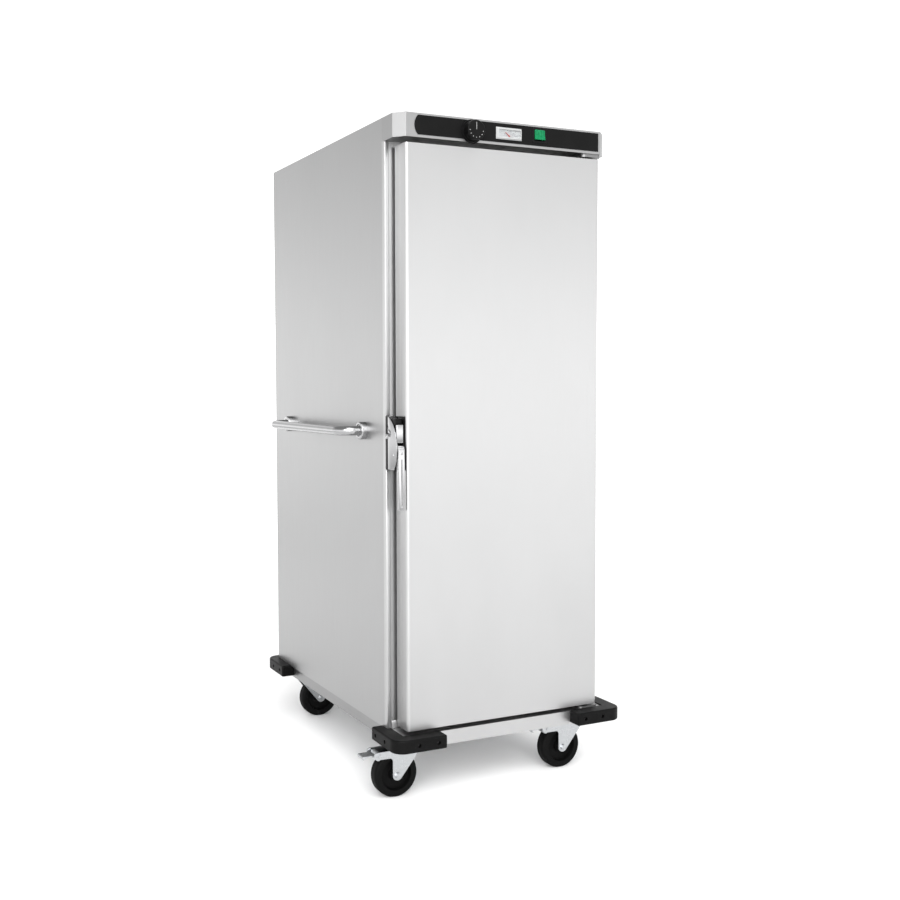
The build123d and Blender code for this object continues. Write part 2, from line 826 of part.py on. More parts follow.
def rocker_lens():
    """The lit rocker, with two shallow faces that meet over its pivot."""
    y = fascia_front + rocker_pivot_depth
    half = rocker_height / 2 - 1.2
    proud = -7.0
    face = outline((proud - 1.6, -half), (proud, 0), (proud - 1.6, half), (3, half * 0.8), (6, 0), (3, -half * 0.8))
    lens = prism_x(face, rocker_x - rocker_width / 2 + 0.3, rocker_x + rocker_width / 2 - 0.3)
    return Pos(0, y, rocker_z) * Rot(-rocker_tilt, 0, 0) * lens


def terminal_block():
    """The wiring terminals on the service deck, with a row of screw pockets."""
    x0 = -inner_half + 60
    y0 = seam + 120
    z0 = service_z + sheet
    body = block((x0, x0 + terminal_width), (y0, y0 + terminal_depth), (z0, z0 + terminal_height))
    count = 5
    for i in range(count):
        x = x0 + terminal_width * (i + 0.5) / count
        body -= rod_z(4, x, y0 + terminal_depth / 2, z0 + terminal_height - 6, z0 + terminal_height + 1)
    return body


def inlet_z():
    return (service_z + sheet + body_top) / 2


def power_inlet():
    """A recessed socket in the rear sheet with three blades."""
    z = inlet_z()
    y1 = body_rear
    half_w = inlet_width / 2
    half_h = inlet_height / 2
    body = block((inlet_x - half_w, inlet_x + half_w), (y1 - inlet_depth, y1), (z - half_h, z + half_h))
    body += block((inlet_x - half_w - inlet_flange, inlet_x + half_w + inlet_flange), (y1, y1 + 2.5),
                  (z - half_h - inlet_flange, z + half_h + inlet_flange))
    body -= block((inlet_x - half_w + 6, inlet_x + half_w - 6), (y1 - inlet_depth + 4, y1 + 3),
                  (z - half_h + 6, z + half_h - 6))
    for dx in (-12, 0, 12):
        body += block((inlet_x + dx - 1.2, inlet_x + dx + 1.2), (y1 - inlet_depth + 3, y1 - 10),
                      (z - 4, z + 4))
    return body


# Inside the cabinet

def rack_post_spots():
    return (seam + post_front_inset, liner_rear - post_rear_inset)


def rack_posts():
    """Four channel posts, open towards the liner, from floor to ceiling."""
    posts = []
    for y in rack_post_spots():
        post = block((opening_half, liner_half), (y, y + post_width), (liner_floor_z, liner_ceiling_z))
        post -= block((opening_half + post_sheet, liner_half + 1), (y + post_sheet, y + post_width - post_sheet),
                      (liner_floor_z - 1, liner_ceiling_z + 1))
        posts += both_sides(post)
    return posts


def tray_runners():
    """Angle runners on both sides, one pair for each level."""
    y_front, y_rear = rack_post_spots()
    y0 = y_front - runner_overhang
    y1 = y_rear + post_width + runner_overhang
    x1 = opening_half
    levels = min(runner_levels, int((liner_ceiling_z - liner_floor_z - runner_first_rise) / runner_pitch))
    runners = []
    for i in range(levels):
        z = liner_floor_z + runner_first_rise + i * runner_pitch
        shape = outline((x1, z), (x1, z + runner_leg), (x1 - runner_sheet, z + runner_leg),
                        (x1 - runner_sheet, z + runner_sheet), (x1 - runner_leg, z + runner_sheet),
                        (x1 - runner_leg, z))
        runners += both_sides(prism_y(shape, y0, y1))
    return runners


def element_path():
    """The heater's run: up and down the floor with half-round turns, both ends at the rear."""
    z = liner_floor_z + element_rise
    front = seam + element_front_inset
    rear = liner_rear
    turn = liner_rear - element_turn_inset
    points = []
    for i in range(element_runs):
        x = (i - (element_runs - 1) / 2) * element_pitch
        ends = (rear if i == 0 else turn, front)
        if i % 2 == 1:
            ends = (front, rear if i == element_runs - 1 else turn)
        points += [(x, ends[0], z), (x, ends[1], z)]
    return FilletPolyline(*points, radius=element_pitch * 0.45)


def heating_element():
    """A sheathed heating rod bent flat."""
    path = element_path()
    start = Plane(origin=path @ 0, z_dir=path % 0)
    return sweep(start * Circle(element_diameter / 2), path=path)


def element_guard():
    """A slotted sheet over the heater, on two side flanges."""
    z0 = liner_floor_z
    z1 = z0 + guard_height
    y0 = seam + 60
    y1 = liner_rear - 40
    half = guard_half_width
    guard = block((-half, half), (y0, y1), (z0, z1))
    guard -= block((-half + guard_sheet, half - guard_sheet), (y0 - 1, y1 + 1), (z0 - 1, z1 - guard_sheet))
    pitch = (y1 - y0) / guard_slots
    slot = SlotOverall(guard_slot_length, guard_slot_width)
    for i in range(guard_slots):
        y = y0 + (i + 0.5) * pitch
        for x in (-half / 2, half / 2):
            guard -= prism_z(Pos(x, y) * slot, z1 - guard_sheet - 1, z1 + 1)
    return guard


def element_clips():
    """Saddles on the floor that carry the heater's runs."""
    z = liner_floor_z + element_rise
    clips = []
    bore = element_diameter / 2 + running_clearance
    for i in range(element_runs):
        x = (i - (element_runs - 1) / 2) * element_pitch
        for y in (seam + element_front_inset + 120, liner_rear - element_turn_inset - 120):
            clip = block((x - 8, x + 8), (y, y + 10), (liner_floor_z, z + 2))
            clip -= rod_y(bore, x, y - 1, y + 11, z)
            clip -= block((x - bore, x + bore), (y - 1, y + 11), (z, z + 3))
            clips.append(clip)
    return clips


def sensor_bulb():
    """The thermostat's bulb in a bracket on the rear liner."""
    z = liner_ceiling_z - bulb_drop
    y = liner_rear - 14
    bulb = rod_x(bulb_diameter / 2, -bulb_length / 2, bulb_length / 2, y, z)
    for x in (-bulb_length / 3, bulb_length / 3):
        bulb += block((x - 5, x + 5), (y, liner_rear), (z - 6, z + 6))
    return bulb


# Side handles

def handle_ends():
    return (frame_face + handle_front_inset, body_rear - handle_rear_inset)


def side_handles():
    """A bent tube on each side, both ends square to the wall."""
    y0, y1 = handle_ends()
    out = half_width + handle_standoff
    path = FilletPolyline((half_width, y0, handle_height), (out, y0, handle_height),
                          (out, y1, handle_height), (half_width, y1, handle_height), radius=handle_bend)
    start = Plane(origin=path @ 0, z_dir=path % 0)
    ring = Circle(handle_tube / 2) - Circle(handle_tube / 2 - handle_tube_wall)
    return both_sides(sweep(start * ring, path=path))


def handle_flanges():
    """Round wall flanges with a short collar round the tube."""
    bore = handle_tube / 2 + running_clearance
    flanges = []
    for y in handle_ends():
        disc = rod_x(handle_flange_diameter / 2, half_width, half_width + handle_flange_sheet, y, handle_height)
        collar = rod_x(handle_collar_diameter / 2, half_width, half_width + handle_collar_height, y, handle_height)
        flange_ring = disc + collar
        flange_ring -= rod_x(bore, half_width - 1, half_width + handle_collar_height + 1, y, handle_height)
        flanges += both_sides(flange_ring)
    return flanges


# Door and hinges

def door_skin():
    """The outer sheet: front face, two rounded edges and the front half of the sides."""
    x = door_half
    plan = outline((-x, door_seam), (-x, door_front), (x, door_front), (x, door_seam))
    plan = round_near(plan, door_edge_radius, (-x, door_front), (x, door_front))
    inner = outline((-x + sheet, door_seam + 1), (-x + sheet, door_front + sheet),
                    (x - sheet, door_front + sheet), (x - sheet, door_seam + 1))
    inner = round_near(inner, door_edge_radius - sheet, (-x + sheet, door_front + sheet),
                       (x - sheet, door_front + sheet))
    skin = prism_z(plan - inner, door_bottom, door_top)
    skin -= block((-x - 1, x + 1), (door_front + door_edge_radius, door_seam + 1),
                  (door_bottom - 1, door_bottom + door_cap_height + 1))
    return skin


def door_inner_pan():
    """The rear sheet of the door, folded forwards to meet the skin."""
    x = door_half
    y0 = door_seam + 0.4
    y1 = door_back
    z0 = door_bottom + door_cap_height + 1
    pan = block((-x, x), (y0, y1), (z0, door_top))
    return pan - block((-x + sheet, x - sheet), (y0 - 1, y1 - sheet), (z0 - 1, door_top + 1))


def door_caps():
    """The bottom cap, seen below the sides, and the top cap inside the sheets."""
    x = door_half
    plan_low = outline((-x + door_cap_inset, door_back), (-x + door_cap_inset, door_front + door_edge_radius + 1),
                       (-x + door_edge_radius + 1, door_front + sheet + 0.2),
                       (x - door_edge_radius - 1, door_front + sheet + 0.2),
                       (x - door_cap_inset, door_front + door_edge_radius + 1), (x - door_cap_inset, door_back))
    low = prism_z(plan_low, door_bottom + 0.6, door_bottom + door_cap_height)
    high = prism_z(door_core_plan(), door_top - door_cap_height, door_top - 0.6)
    caps = []
    for cap, z0, z1 in ((low, door_bottom, door_bottom + door_cap_height),
                        (high, door_top - door_cap_height, door_top)):
        caps.append(cap - rod_z(bush_diameter / 2 + cut_clearance / 2, hinge_x, hinge_y, z0 - 1, z1 + 1))
    return caps


def door_core_plan():
    """The space between the door's two sheets, from above."""
    x = door_half - sheet - 0.2
    front = door_front + sheet + 0.2
    corner = door_edge_radius - sheet
    plan = outline((-x, door_back - sheet - 0.2), (-x, front), (x, front), (x, door_back - sheet - 0.2))
    return round_near(plan, corner, (-x, front), (x, front))


def door_insulation():
    return prism_z(door_core_plan(), door_bottom + door_cap_height + 1, door_top - door_cap_height - 0.4)


def door_gasket():
    """The heat seal round the door's back, kept on the opening's side of the hinge axis."""
    x0 = -door_half + gasket_inset
    x1 = hinge_x - 0.5
    z0 = door_bottom + door_cap_height + 4
    z1 = door_top - gasket_inset
    outer = plate_face((x0, x1), (z0, z1))
    inner = plate_face((x0 + gasket_width, x1 - gasket_width), (z0 + gasket_width, z1 - gasket_width))
    seal = prism_y(outer - inner, door_back, frame_face - gasket_relief)
    front_edges = seal.faces().sort_by(Axis.Y)[-1].edges()
    return fillet(front_edges, 3.5)


def hinge_bushes():
    """Flanged bushes in both door caps, running on the hinge pins."""
    bore = hinge_pin_diameter / 2 + running_clearance
    low = rod_z(bush_diameter / 2, hinge_x, hinge_y, door_bottom + 0.6, door_bottom + 0.6 + bush_length)
    low += rod_z(bush_flange / 2, hinge_x, hinge_y, door_bottom + 0.6 - bush_flange_height, door_bottom + 0.6)
    high = rod_z(bush_diameter / 2, hinge_x, hinge_y, door_top - 0.6 - bush_length, door_top - 0.6)
    high += rod_z(bush_flange / 2, hinge_x, hinge_y, door_top - 0.6, door_top - 0.6 + bush_flange_height)
    return [bush - rod_z(bore, hinge_x, hinge_y, door_bottom - 10, door_top + 10) for bush in (low, high)]


def hinge_plan():
    """A hinge bracket from above, rounded towards the front."""
    x0 = hinge_x - hinge_plate_left
    x1 = hinge_x + hinge_plate_right
    y0 = hinge_y - hinge_from_front + 1
    face = outline((x0, frame_face - 0.2), (x0, y0), (x1, y0), (x1, frame_face - 0.2))
    return round_near(face, 12, (x0, y0), (x1, y0))


def hinge_bracket_bottom():
    """The lower bracket on the deck, with the pin that carries the door."""
    z = body_bottom + hinge_plate_bottom
    seat = door_bottom + 0.6 - bush_flange_height - 0.3
    bracket = prism_z(hinge_plan(), body_bottom, z)
    bracket += rod_z(bush_flange / 2, hinge_x, hinge_y, z, seat)
    return bracket + rod_z(hinge_pin_diameter / 2, hinge_x, hinge_y, z, door_bottom + bush_length - 1)


def hinge_bracket_top():
    """The upper bracket under the head, with its pin pointing down."""
    z = head_bottom - hinge_plate_top
    bracket = prism_z(hinge_plan(), z, head_bottom)
    return bracket + rod_z(hinge_pin_diameter / 2, hinge_x, hinge_y, door_top - bush_length + 1, z)


# Door latch, on the door's left edge

def latch_keeper():
    """The catch plate on the frame beside the door."""
    y0 = frame_face - latch_keeper_depth
    plate = block((-half_width + frame_edge_radius, -door_half - 1), (y0, frame_face), (latch_bottom, latch_top))
    pocket = block((-half_width + 6, -door_half - 5), (y0 - 1, y0 + 3), (latch_bottom + 30, latch_top - 25))
    return plate - pocket


def latch_backing():
    """The black plate between the latch case and the door's edge."""
    x0 = -door_half - latch_backing_width
    y1 = frame_face - latch_keeper_depth - latch_gap
    return block((x0, -door_half), (door_front + door_edge_radius, y1), (latch_bottom, latch_top))


def latch_case():
    """A cast case: a sloping block over two cheeks that hold the lever's pin."""
    x0 = -half_width
    x1 = -door_half - latch_backing_width
    back = frame_face - latch_keeper_depth - latch_gap
    front = frame_face - latch_case_front
    pivot = (frame_face - latch_pivot_depth, latch_pivot_z)
    block_face = outline((back, latch_block_bottom), (back, latch_top), (front + 21, latch_top),
                         (front, latch_top - 26), (front, latch_block_bottom))
    block_face = round_near(block_face, 10, (front + 21, latch_top), (front, latch_top - 26))
    case = prism_x(block_face, x0, x1)
    cheek_face = outline((back, latch_bottom), (back - 10, latch_bottom), (pivot[0] - 6, pivot[1] - 9),
                         (pivot[0] - 8, pivot[1] + 4), (front, latch_block_bottom - 5),
                         (front, latch_block_bottom + 1), (back, latch_block_bottom + 1))
    cheek_face = round_near(cheek_face, 4, (pivot[0] - 6, pivot[1] - 9), (pivot[0] - 8, pivot[1] + 4))
    case += prism_x(cheek_face, x0, x0 + latch_cheek)
    case += prism_x(cheek_face, x1 - latch_cheek, x1)
    return case - rod_x(latch_pin_diameter / 2 + running_clearance, x0 - 1, x1 + 1, *pivot)


def latch_pin():
    pivot = (frame_face - latch_pivot_depth, latch_pivot_z)
    return rod_x(latch_pin_diameter / 2, -half_width - 0.8, -door_half - latch_backing_width, *pivot)


def latch_lever():
    """The pull lever: a flat blade in front of the case, with a web between the cheeks."""
    x0 = -half_width + latch_cheek + latch_gap
    x1 = -door_half - latch_backing_width - latch_cheek - latch_gap
    front = frame_face - lever_front
    back = front + lever_depth
    pivot = (frame_face - latch_pivot_depth, latch_pivot_z)
    blade = plate_face((front, back), (lever_bottom, lever_top))
    blade = round_near(blade, lever_depth / 2 - 1, (front, lever_top), (back, lever_top))
    blade = round_near(blade, lever_depth / 3, (front, lever_bottom), (back, lever_bottom))
    web = outline((back - 2, latch_pivot_z + 12), (pivot[0] + 20, latch_pivot_z + 9),
                  (pivot[0] + 24, latch_pivot_z - 16), (back - 2, latch_pivot_z - 40))
    web = round_near(web, 5, (pivot[0] + 20, latch_pivot_z + 9), (pivot[0] + 24, latch_pivot_z - 16))
    lever = prism_x(blade + web, x0, x1)
    return lever - rod_x(latch_pin_diameter / 2 + running_clearance, x0 - 1, x1 + 1, *pivot)


def all_nodes():
    """Every named piece of the cart."""
    right_side = side_panel()
    nodes = {
        "side_panel_right": right_side,
        "side_panel_left": mirror(right_side, about=Plane.YZ),
        "rear_panel": rear_panel(),
        "top_panel": top_panel(),
        "front_frame": front_frame(),
        "liner_sides": liner_sides(),
        "liner_rear": liner_rear_sheet(),
        "liner_floor": liner_floor(),
        "liner_ceiling": liner_ceiling(),
        "insulation_boards": insulation_boards(),
        "service_deck": service_deck(),
        "base_chassis": base_chassis(),
        "caster_rails": caster_rails(),
        "corner_bumpers": corner_bumpers(),
        "bumper_screws": bumper_screws(),
        "caster_plates": caster_plates(),
        "caster_bolts": caster_bolts(),
        "head_housing": head_housing(),
        "control_fascia": control_fascia(),
        "thermostat_body": thermostat_body(),
        "thermometer_case": thermometer_case(),
        "thermometer_dial": thermometer_dial(),
        "thermometer_window": thermometer_window(),
        "rocker_housing": rocker_housing(),
        "terminal_block": terminal_block(),
        "power_inlet": power_inlet(),
        "heating_element": heating_element(),
        "element_guard": element_guard(),
        "element_clips": element_clips(),
        "sensor_bulb": sensor_bulb(),
        "rack_posts": rack_posts(),
        "tray_runners": tray_runners(),
        "side_handles": side_handles(),
        "handle_flanges": handle_flanges(),
        "hinge_bracket_top": hinge_bracket_top(),
        "hinge_bracket_bottom": hinge_bracket_bottom(),
        "latch_keeper": latch_keeper(),
        "door_skin": door_skin(),
        "door_inner_pan": door_inner_pan(),
        "door_insulation": door_insulation(),
        "door_gasket": door_gasket(),
        "door_end_caps": door_caps(),
        "hinge_bushes": hinge_bushes(),
        "latch_backing": latch_backing(),
        "latch_case": latch_case(),
        "latch_pin": latch_pin(),
        "latch_lever": latch_lever(),
        "thermostat_knob": thermostat_knob(),
        "thermometer_pointer": thermometer_pointer(),
        "rocker_lens": rocker_lens(),
    }
    forks = {braked: caster_fork(braked) for braked in (True, False)}
    axle = caster_axle()
    wheel = caster_wheel()
    pedal = brake_pedal()
    for name, x, y, way, braked in caster_spots():
        place = caster_place(x, y, way)
        nodes[f"caster_{name}_fork"] = [place * forks[braked], place * axle]
        nodes[f"caster_{name}_wheel"] = place * wheel
        if braked:
            nodes[f"brake_pedal_{name}"] = place * pedal
    return nodes


def write_parts():
    os.makedirs("parts", exist_ok=True)
    for name, shape in all_nodes().items():
        solids = shape if isinstance(shape, list) else [shape]
        found = [solid for piece in solids for solid in piece.solids()]
        export_step(Compound(children=found) if len(found) > 1 else found[0], f"parts/{name}.step")


write_parts()
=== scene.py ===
import json
import math

import bmesh
import bpy
from mathutils import Matrix, Vector


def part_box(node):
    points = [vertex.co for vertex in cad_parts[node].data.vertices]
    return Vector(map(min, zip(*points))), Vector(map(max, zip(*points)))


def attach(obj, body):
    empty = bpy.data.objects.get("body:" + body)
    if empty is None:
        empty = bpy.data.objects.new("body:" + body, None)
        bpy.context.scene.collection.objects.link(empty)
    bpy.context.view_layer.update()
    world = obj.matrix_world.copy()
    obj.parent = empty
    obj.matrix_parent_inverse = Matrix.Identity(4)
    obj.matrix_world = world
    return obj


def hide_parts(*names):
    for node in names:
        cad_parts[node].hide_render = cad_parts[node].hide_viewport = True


# Heated banquet cart: looks, small marks and studio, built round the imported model.
# Lengths are in metres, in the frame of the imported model.

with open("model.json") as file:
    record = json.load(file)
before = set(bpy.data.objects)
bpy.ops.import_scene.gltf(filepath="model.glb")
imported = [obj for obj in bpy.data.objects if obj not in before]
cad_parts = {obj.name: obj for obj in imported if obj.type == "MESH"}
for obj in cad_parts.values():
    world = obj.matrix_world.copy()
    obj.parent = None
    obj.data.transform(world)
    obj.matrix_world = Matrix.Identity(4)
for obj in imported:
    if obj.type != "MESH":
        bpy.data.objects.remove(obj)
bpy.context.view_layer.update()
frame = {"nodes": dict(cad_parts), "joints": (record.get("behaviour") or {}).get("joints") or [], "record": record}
scene = bpy.context.scene

# Camera, as solved from the straight edges of the cart
camera_place = Vector((-1.5696, -2.9709, 1.1114))
camera_yaw = math.radians(24.606)
camera_pitch = math.radians(3.326)
camera_roll = math.radians(-0.358)
sensor_width = 36.0
focal_length = 44.018
shift = (0.09319, -0.00744)
camera_reach = 200.0

# Floor
floor_half = 3.0
floor_tone = (0.90, 0.90, 0.90)
floor_lighter = (0.92, 0.92, 0.92)

# Light from all round: even, fading overhead, with a glow at the horizon and a white wall behind the cart
sky_strength = 1.23
sky_right = -0.19
sky_front = 0.10
sky_top = 0.45
sky_fade = (0.40, 0.55)
glow_strength = 2.25
glow_front = 0.85
glow_height = 0.23
wall_strength = 0.42
wall_across = (-0.30, 0.02)
wall_behind = (0.30, 0.60)

# Two very soft lights from far away
sun_from = (0.15, -0.45, 1.0)
sun_angle = 60.0
sun_strength = 2.0
low_sun_from = (-0.45, -0.75, 0.45)
low_sun_angle = 50.0
low_sun_strength = 3.5

# Steel
steel_tone = 0.40
# The side panels' tone is a darker copy of the same steel: painted shade for their darker reflections
steel_side_tone = 0.32
# Painted shade on the base's side skirts: the share of the steel tone they get, and how far inside their faces it
# starts
skirt_shade_share = 0.62
skirt_shade_margin = 0.0004

# Rounding of small edges, some as shapes and some as shading; on the metals and the lens the shaded edges also
# carry a painted highlight
shaded_edge = 0.0005
shaded_sheet_edge = 0.0006
shaded_turn = (0.86, 0.995)
edge_fine = 0.0004
edge_small = 0.0006
edge_sheet = 0.0007
edge_lever = 0.0008
edge_block = 0.0012
edge_rim = 0.0018
sharp_angle = 32.0
rounded_angle = 25.0

# Marks printed on the knob and the thermometer
mark_height = 0.0003
print_height = 0.00015
knob_dots = 7
knob_dot_ring = 0.0195
knob_dot_size = 0.0011
knob_dot_span = (-8.0, -176.0)
knob_line_width = 0.0011
knob_line_start = 0.001
scale_ticks = 13
scale_span = (148.0, 32.0)
scale_radius = 0.0125
scale_long_every = 4
scale_long_tick = (0.0022, 0.0004)
scale_short_tick = (0.0013, 0.00025)
scale_numbers = ("0", "30", "60", "90")
number_size = 0.0030
number_rise = 0.0026

# Latch case, with its depths measured forward from the door frame's face
latch_low, latch_high = 0.876, 1.015
latch_plate = 0.002
latch_cheek = 0.003
latch_belly = 0.0665
latch_belly_z = 0.940
latch_brow = 0.0165
latch_foot = 0.049
latch_cheek_step = 0.004
latch_block_front = 0.0625
latch_block_depth = 0.007
latch_block_low, latch_block_high = 0.947, 0.994
latch_tongue_low, latch_tongue_high = 0.9555, 0.9675
latch_gap = 0.0006
latch_keeper_inset = 0.0002

# Latch lever
lever_low, lever_high = 0.773, 0.940
lever_front = 0.0715
lever_thickness = 0.010
lever_crown = 0.0012
lever_crown_drop = 0.006
lever_layer_drop = 0.0075
lever_hub = 0.0085
lever_web = 5
lever_groove = 0.003
lever_groove_depth = 0.002
lever_groove_top = 0.905
rivet_z = 0.9196
rivet_radius = 0.0035
rivet_flat = 0.8
rivet_edge = 0.0004
rivet_rise = 0.001
rivet_length = 0.002

# Rims, beads of painted shade, door and flanges
rim_width = 0.012
rim_proud = 0.004
rim_band = 0.022
rim_gap = 0.001
rim_seam = 0.0003
shade_bead_size = 0.0022
door_edge = 0.008
door_foot_sheet = 0.0005
flange_radius = 0.024
flange_height = 0.018
flange_bore = 0.0127
flange_crown = 0.0025
flange_shoulder = (0.0007, 0.0008)
flange_recess = (0.002, 0.001)

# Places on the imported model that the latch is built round
frame_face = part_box("front_frame")[0][1]
case_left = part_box("side_panel_left")[0][0]
case_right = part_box("door_skin")[0][0] - latch_plate
case_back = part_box("latch_case")[1][1]
case_inside = (case_left + latch_cheek, case_right - latch_cheek)


def set_camera():
    """A camera at the viewing angle of the photograph."""
    data = bpy.data.cameras.new("camera")
    data.sensor_width = sensor_width
    data.lens = focal_length
    data.shift_x, data.shift_y = shift
    data.clip_end = camera_reach
    camera = bpy.data.objects.new("camera", data)
    scene.collection.objects.link(camera)
    forward = Vector((math.sin(camera_yaw) * math.cos(camera_pitch),
                      math.cos(camera_yaw) * math.cos(camera_pitch),
                      -math.sin(camera_pitch)))
    level = Vector((math.cos(camera_yaw), -math.sin(camera_yaw), 0.0))
    upward = level.cross(forward)
    right = math.cos(camera_roll) * level + math.sin(camera_roll) * upward
    top = -math.sin(camera_roll) * level + math.cos(camera_roll) * upward
    turn = Matrix((right, top, -forward)).transposed()
    camera.matrix_world = Matrix.Translation(camera_place) @ turn.to_4x4()
    scene.camera = camera
    scene.view_settings.view_transform = "Standard"
    scene.view_settings.look = "None"


# Shader building blocks

def begin(name):
    """A new material with one shader, and its node tree."""
    material = bpy.data.materials.new(name)
    material.use_nodes = True
    tree = material.node_tree
    tree.nodes.clear()
    out = tree.nodes.new("ShaderNodeOutputMaterial")
    shader = tree.nodes.new("ShaderNodeBsdfPrincipled")
    tree.links.new(shader.outputs["BSDF"], out.inputs["Surface"])
    return material, tree, shader


def place_on(tree, stretch=(1.0, 1.0, 1.0)):
    """Points fixed to the object, stretched along its axes."""
    place = tree.nodes.new("ShaderNodeTexCoord")
    mapping = tree.nodes.new("ShaderNodeMapping")
    mapping.inputs["Scale"].default_value = stretch
    tree.links.new(place.outputs["Object"], mapping.inputs["Vector"])
    return mapping.outputs["Vector"]


def noise(tree, points, scale, detail=2.0):
    """A noise value between about 0.3 and 0.7."""
    node = tree.nodes.new("ShaderNodeTexNoise")
    node.inputs["Scale"].default_value = scale
    node.inputs["Detail"].default_value = detail
    tree.links.new(points, node.inputs["Vector"])
    return node.outputs["Fac"]


def cells(tree, points, scale):
    """A value that is the same over each cell of a random pattern."""
    node = tree.nodes.new("ShaderNodeTexVoronoi")
    node.inputs["Scale"].default_value = scale
    tree.links.new(points, node.inputs["Vector"])
    apart = tree.nodes.new("ShaderNodeSeparateColor")
    tree.links.new(node.outputs["Color"], apart.inputs["Color"])
    return apart.outputs["Red"]


def spread(tree, value, low, high, start=0.3, end=0.7):
    """The value moved from start..end to low..high."""
    node = tree.nodes.new("ShaderNodeMapRange")
    node.inputs["From Min"].default_value = start
    node.inputs["From Max"].default_value = end
    node.inputs["To Min"].default_value = low
    node.inputs["To Max"].default_value = high
    tree.links.new(value, node.inputs["Value"])
    return node.outputs["Result"]


def grey(level, blue=None):
    """A grey, or one with a blue level of its own."""
    return (level, level, level if blue is None else blue)


def scaled(tone, factor):
    """A tone made lighter or darker."""
    return tuple(min(1.0, channel * factor) for channel in tone)


def mix_colour(tree, factor, first, second):
    """A colour between two others, each a colour or a socket."""
    node = tree.nodes.new("ShaderNodeMix")
    node.data_type = "RGBA"
    tree.links.new(factor, node.inputs["Factor"])
    for socket, colour in ((node.inputs[6], first), (node.inputs[7], second)):
        if isinstance(colour, bpy.types.NodeSocket):
            tree.links.new(colour, socket)
        else:
            socket.default_value = (*colour, 1.0)
    return node.outputs[2]


def combine(tree, operation, first, second):
    """Two values put together by a named operation."""
    node = tree.nodes.new("ShaderNodeMath")
    node.operation = operation
    for socket, value in zip(node.inputs, (first, second)):
        if isinstance(value, bpy.types.NodeSocket):
            tree.links.new(value, socket)
        else:
            socket.default_value = value
    return node.outputs["Value"]


def rounded_edges(tree, radius):
    """A normal that rounds sharp edges, and a value that is 1 on those edges and 0 away from them."""
    bevel = tree.nodes.new("ShaderNodeBevel")
    bevel.samples = 4
    bevel.inputs["Radius"].default_value = radius
    flat = tree.nodes.new("ShaderNodeNewGeometry")
    product = tree.nodes.new("ShaderNodeVectorMath")
    product.operation = "DOT_PRODUCT"
    tree.links.new(bevel.outputs["Normal"], product.inputs[0])
    tree.links.new(flat.outputs["Normal"], product.inputs[1])
    edge = spread(tree, product.outputs["Value"], 1.0, 0.0, *shaded_turn)
    return bevel.outputs["Normal"], edge


def raise_bump(tree, shader, height, strength, distance, normal=None):
    """A bump from a height value."""
    bump = tree.nodes.new("ShaderNodeBump")
    bump.inputs["Strength"].default_value = strength
    bump.inputs["Distance"].default_value = distance
    tree.links.new(height, bump.inputs["Height"])
    if normal is not None:
        tree.links.new(normal, bump.inputs["Normal"])
    tree.links.new(bump.outputs["Normal"], shader.inputs["Normal"])


# Finishes

def steel(name, tone, roughness, grain=(1.0, 1.0, 0.012), lines=900.0, smudge=0.02, shaded_beyond=None):
    """Stainless sheet with a fine grain, a painted highlight on its edges, and painted shade on the faces beyond a
    distance in X.
    """
    material, tree, shader = begin(name)
    shader.inputs["Metallic"].default_value = 1.0
    clouds = noise(tree, place_on(tree, (1.0, 1.0, 0.45)), 5.5, 4.0)
    streaks = noise(tree, place_on(tree, grain), lines, 3.0)
    tones = (scaled(tone, 1.0 - smudge), scaled(tone, 1.0 + smudge))
    clouded = mix_colour(tree, spread(tree, clouds, 0.0, 1.0), *tones)
    normal, edges = rounded_edges(tree, shaded_sheet_edge)
    # The edge mask lightens the colour: a painted highlight along the sheet's edges
    sheet = mix_colour(tree, combine(tree, "MULTIPLY", edges, 0.6), clouded, scaled(tone, 1.12))
    # Beyond the distance in X the colour drops to a share of the tone: painted shade on the base's side skirts
    if shaded_beyond is not None:
        place = tree.nodes.new("ShaderNodeSeparateXYZ")
        tree.links.new(place_on(tree), place.inputs["Vector"])
        aside = combine(tree, "ABSOLUTE", place.outputs["X"], 0.0)
        beyond = combine(tree, "GREATER_THAN", aside, shaded_beyond)
        sheet = mix_colour(tree, beyond, sheet, scaled(tone, skirt_shade_share))
    tree.links.new(sheet, shader.inputs["Base Color"])
    cloudy = spread(tree, clouds, roughness - 0.02, roughness + 0.02)
    lined = spread(tree, streaks, -0.03, 0.03)
    tree.links.new(combine(tree, "ADD", cloudy, lined), shader.inputs["Roughness"])
    raise_bump(tree, shader, streaks, 0.06, 0.00008, normal)
    return material


def polished(name, tone, roughness):
    """Polished metal with faint buffing marks and a painted highlight on its edges."""
    material, tree, shader = begin(name)
    shader.inputs["Metallic"].default_value = 1.0
    marks = noise(tree, place_on(tree, (1.0, 0.05, 1.0)), 700.0, 2.0)
    clouds = noise(tree, place_on(tree), 30.0, 3.0)
    normal, edges = rounded_edges(tree, shaded_edge)
    clouded = mix_colour(tree, spread(tree, clouds, 0.0, 1.0), scaled(tone, 0.93), tone)
    # The edge mask lightens the colour: a painted highlight along the edges
    tree.links.new(mix_colour(tree, edges, clouded, scaled(tone, 1.1)), shader.inputs["Base Color"])
    tree.links.new(combine(tree, "ADD", spread(tree, clouds, roughness - 0.03, roughness + 0.03),
                           spread(tree, marks, -0.02, 0.02)), shader.inputs["Roughness"])
    raise_bump(tree, shader, marks, 0.04, 0.00005, normal)
    return material


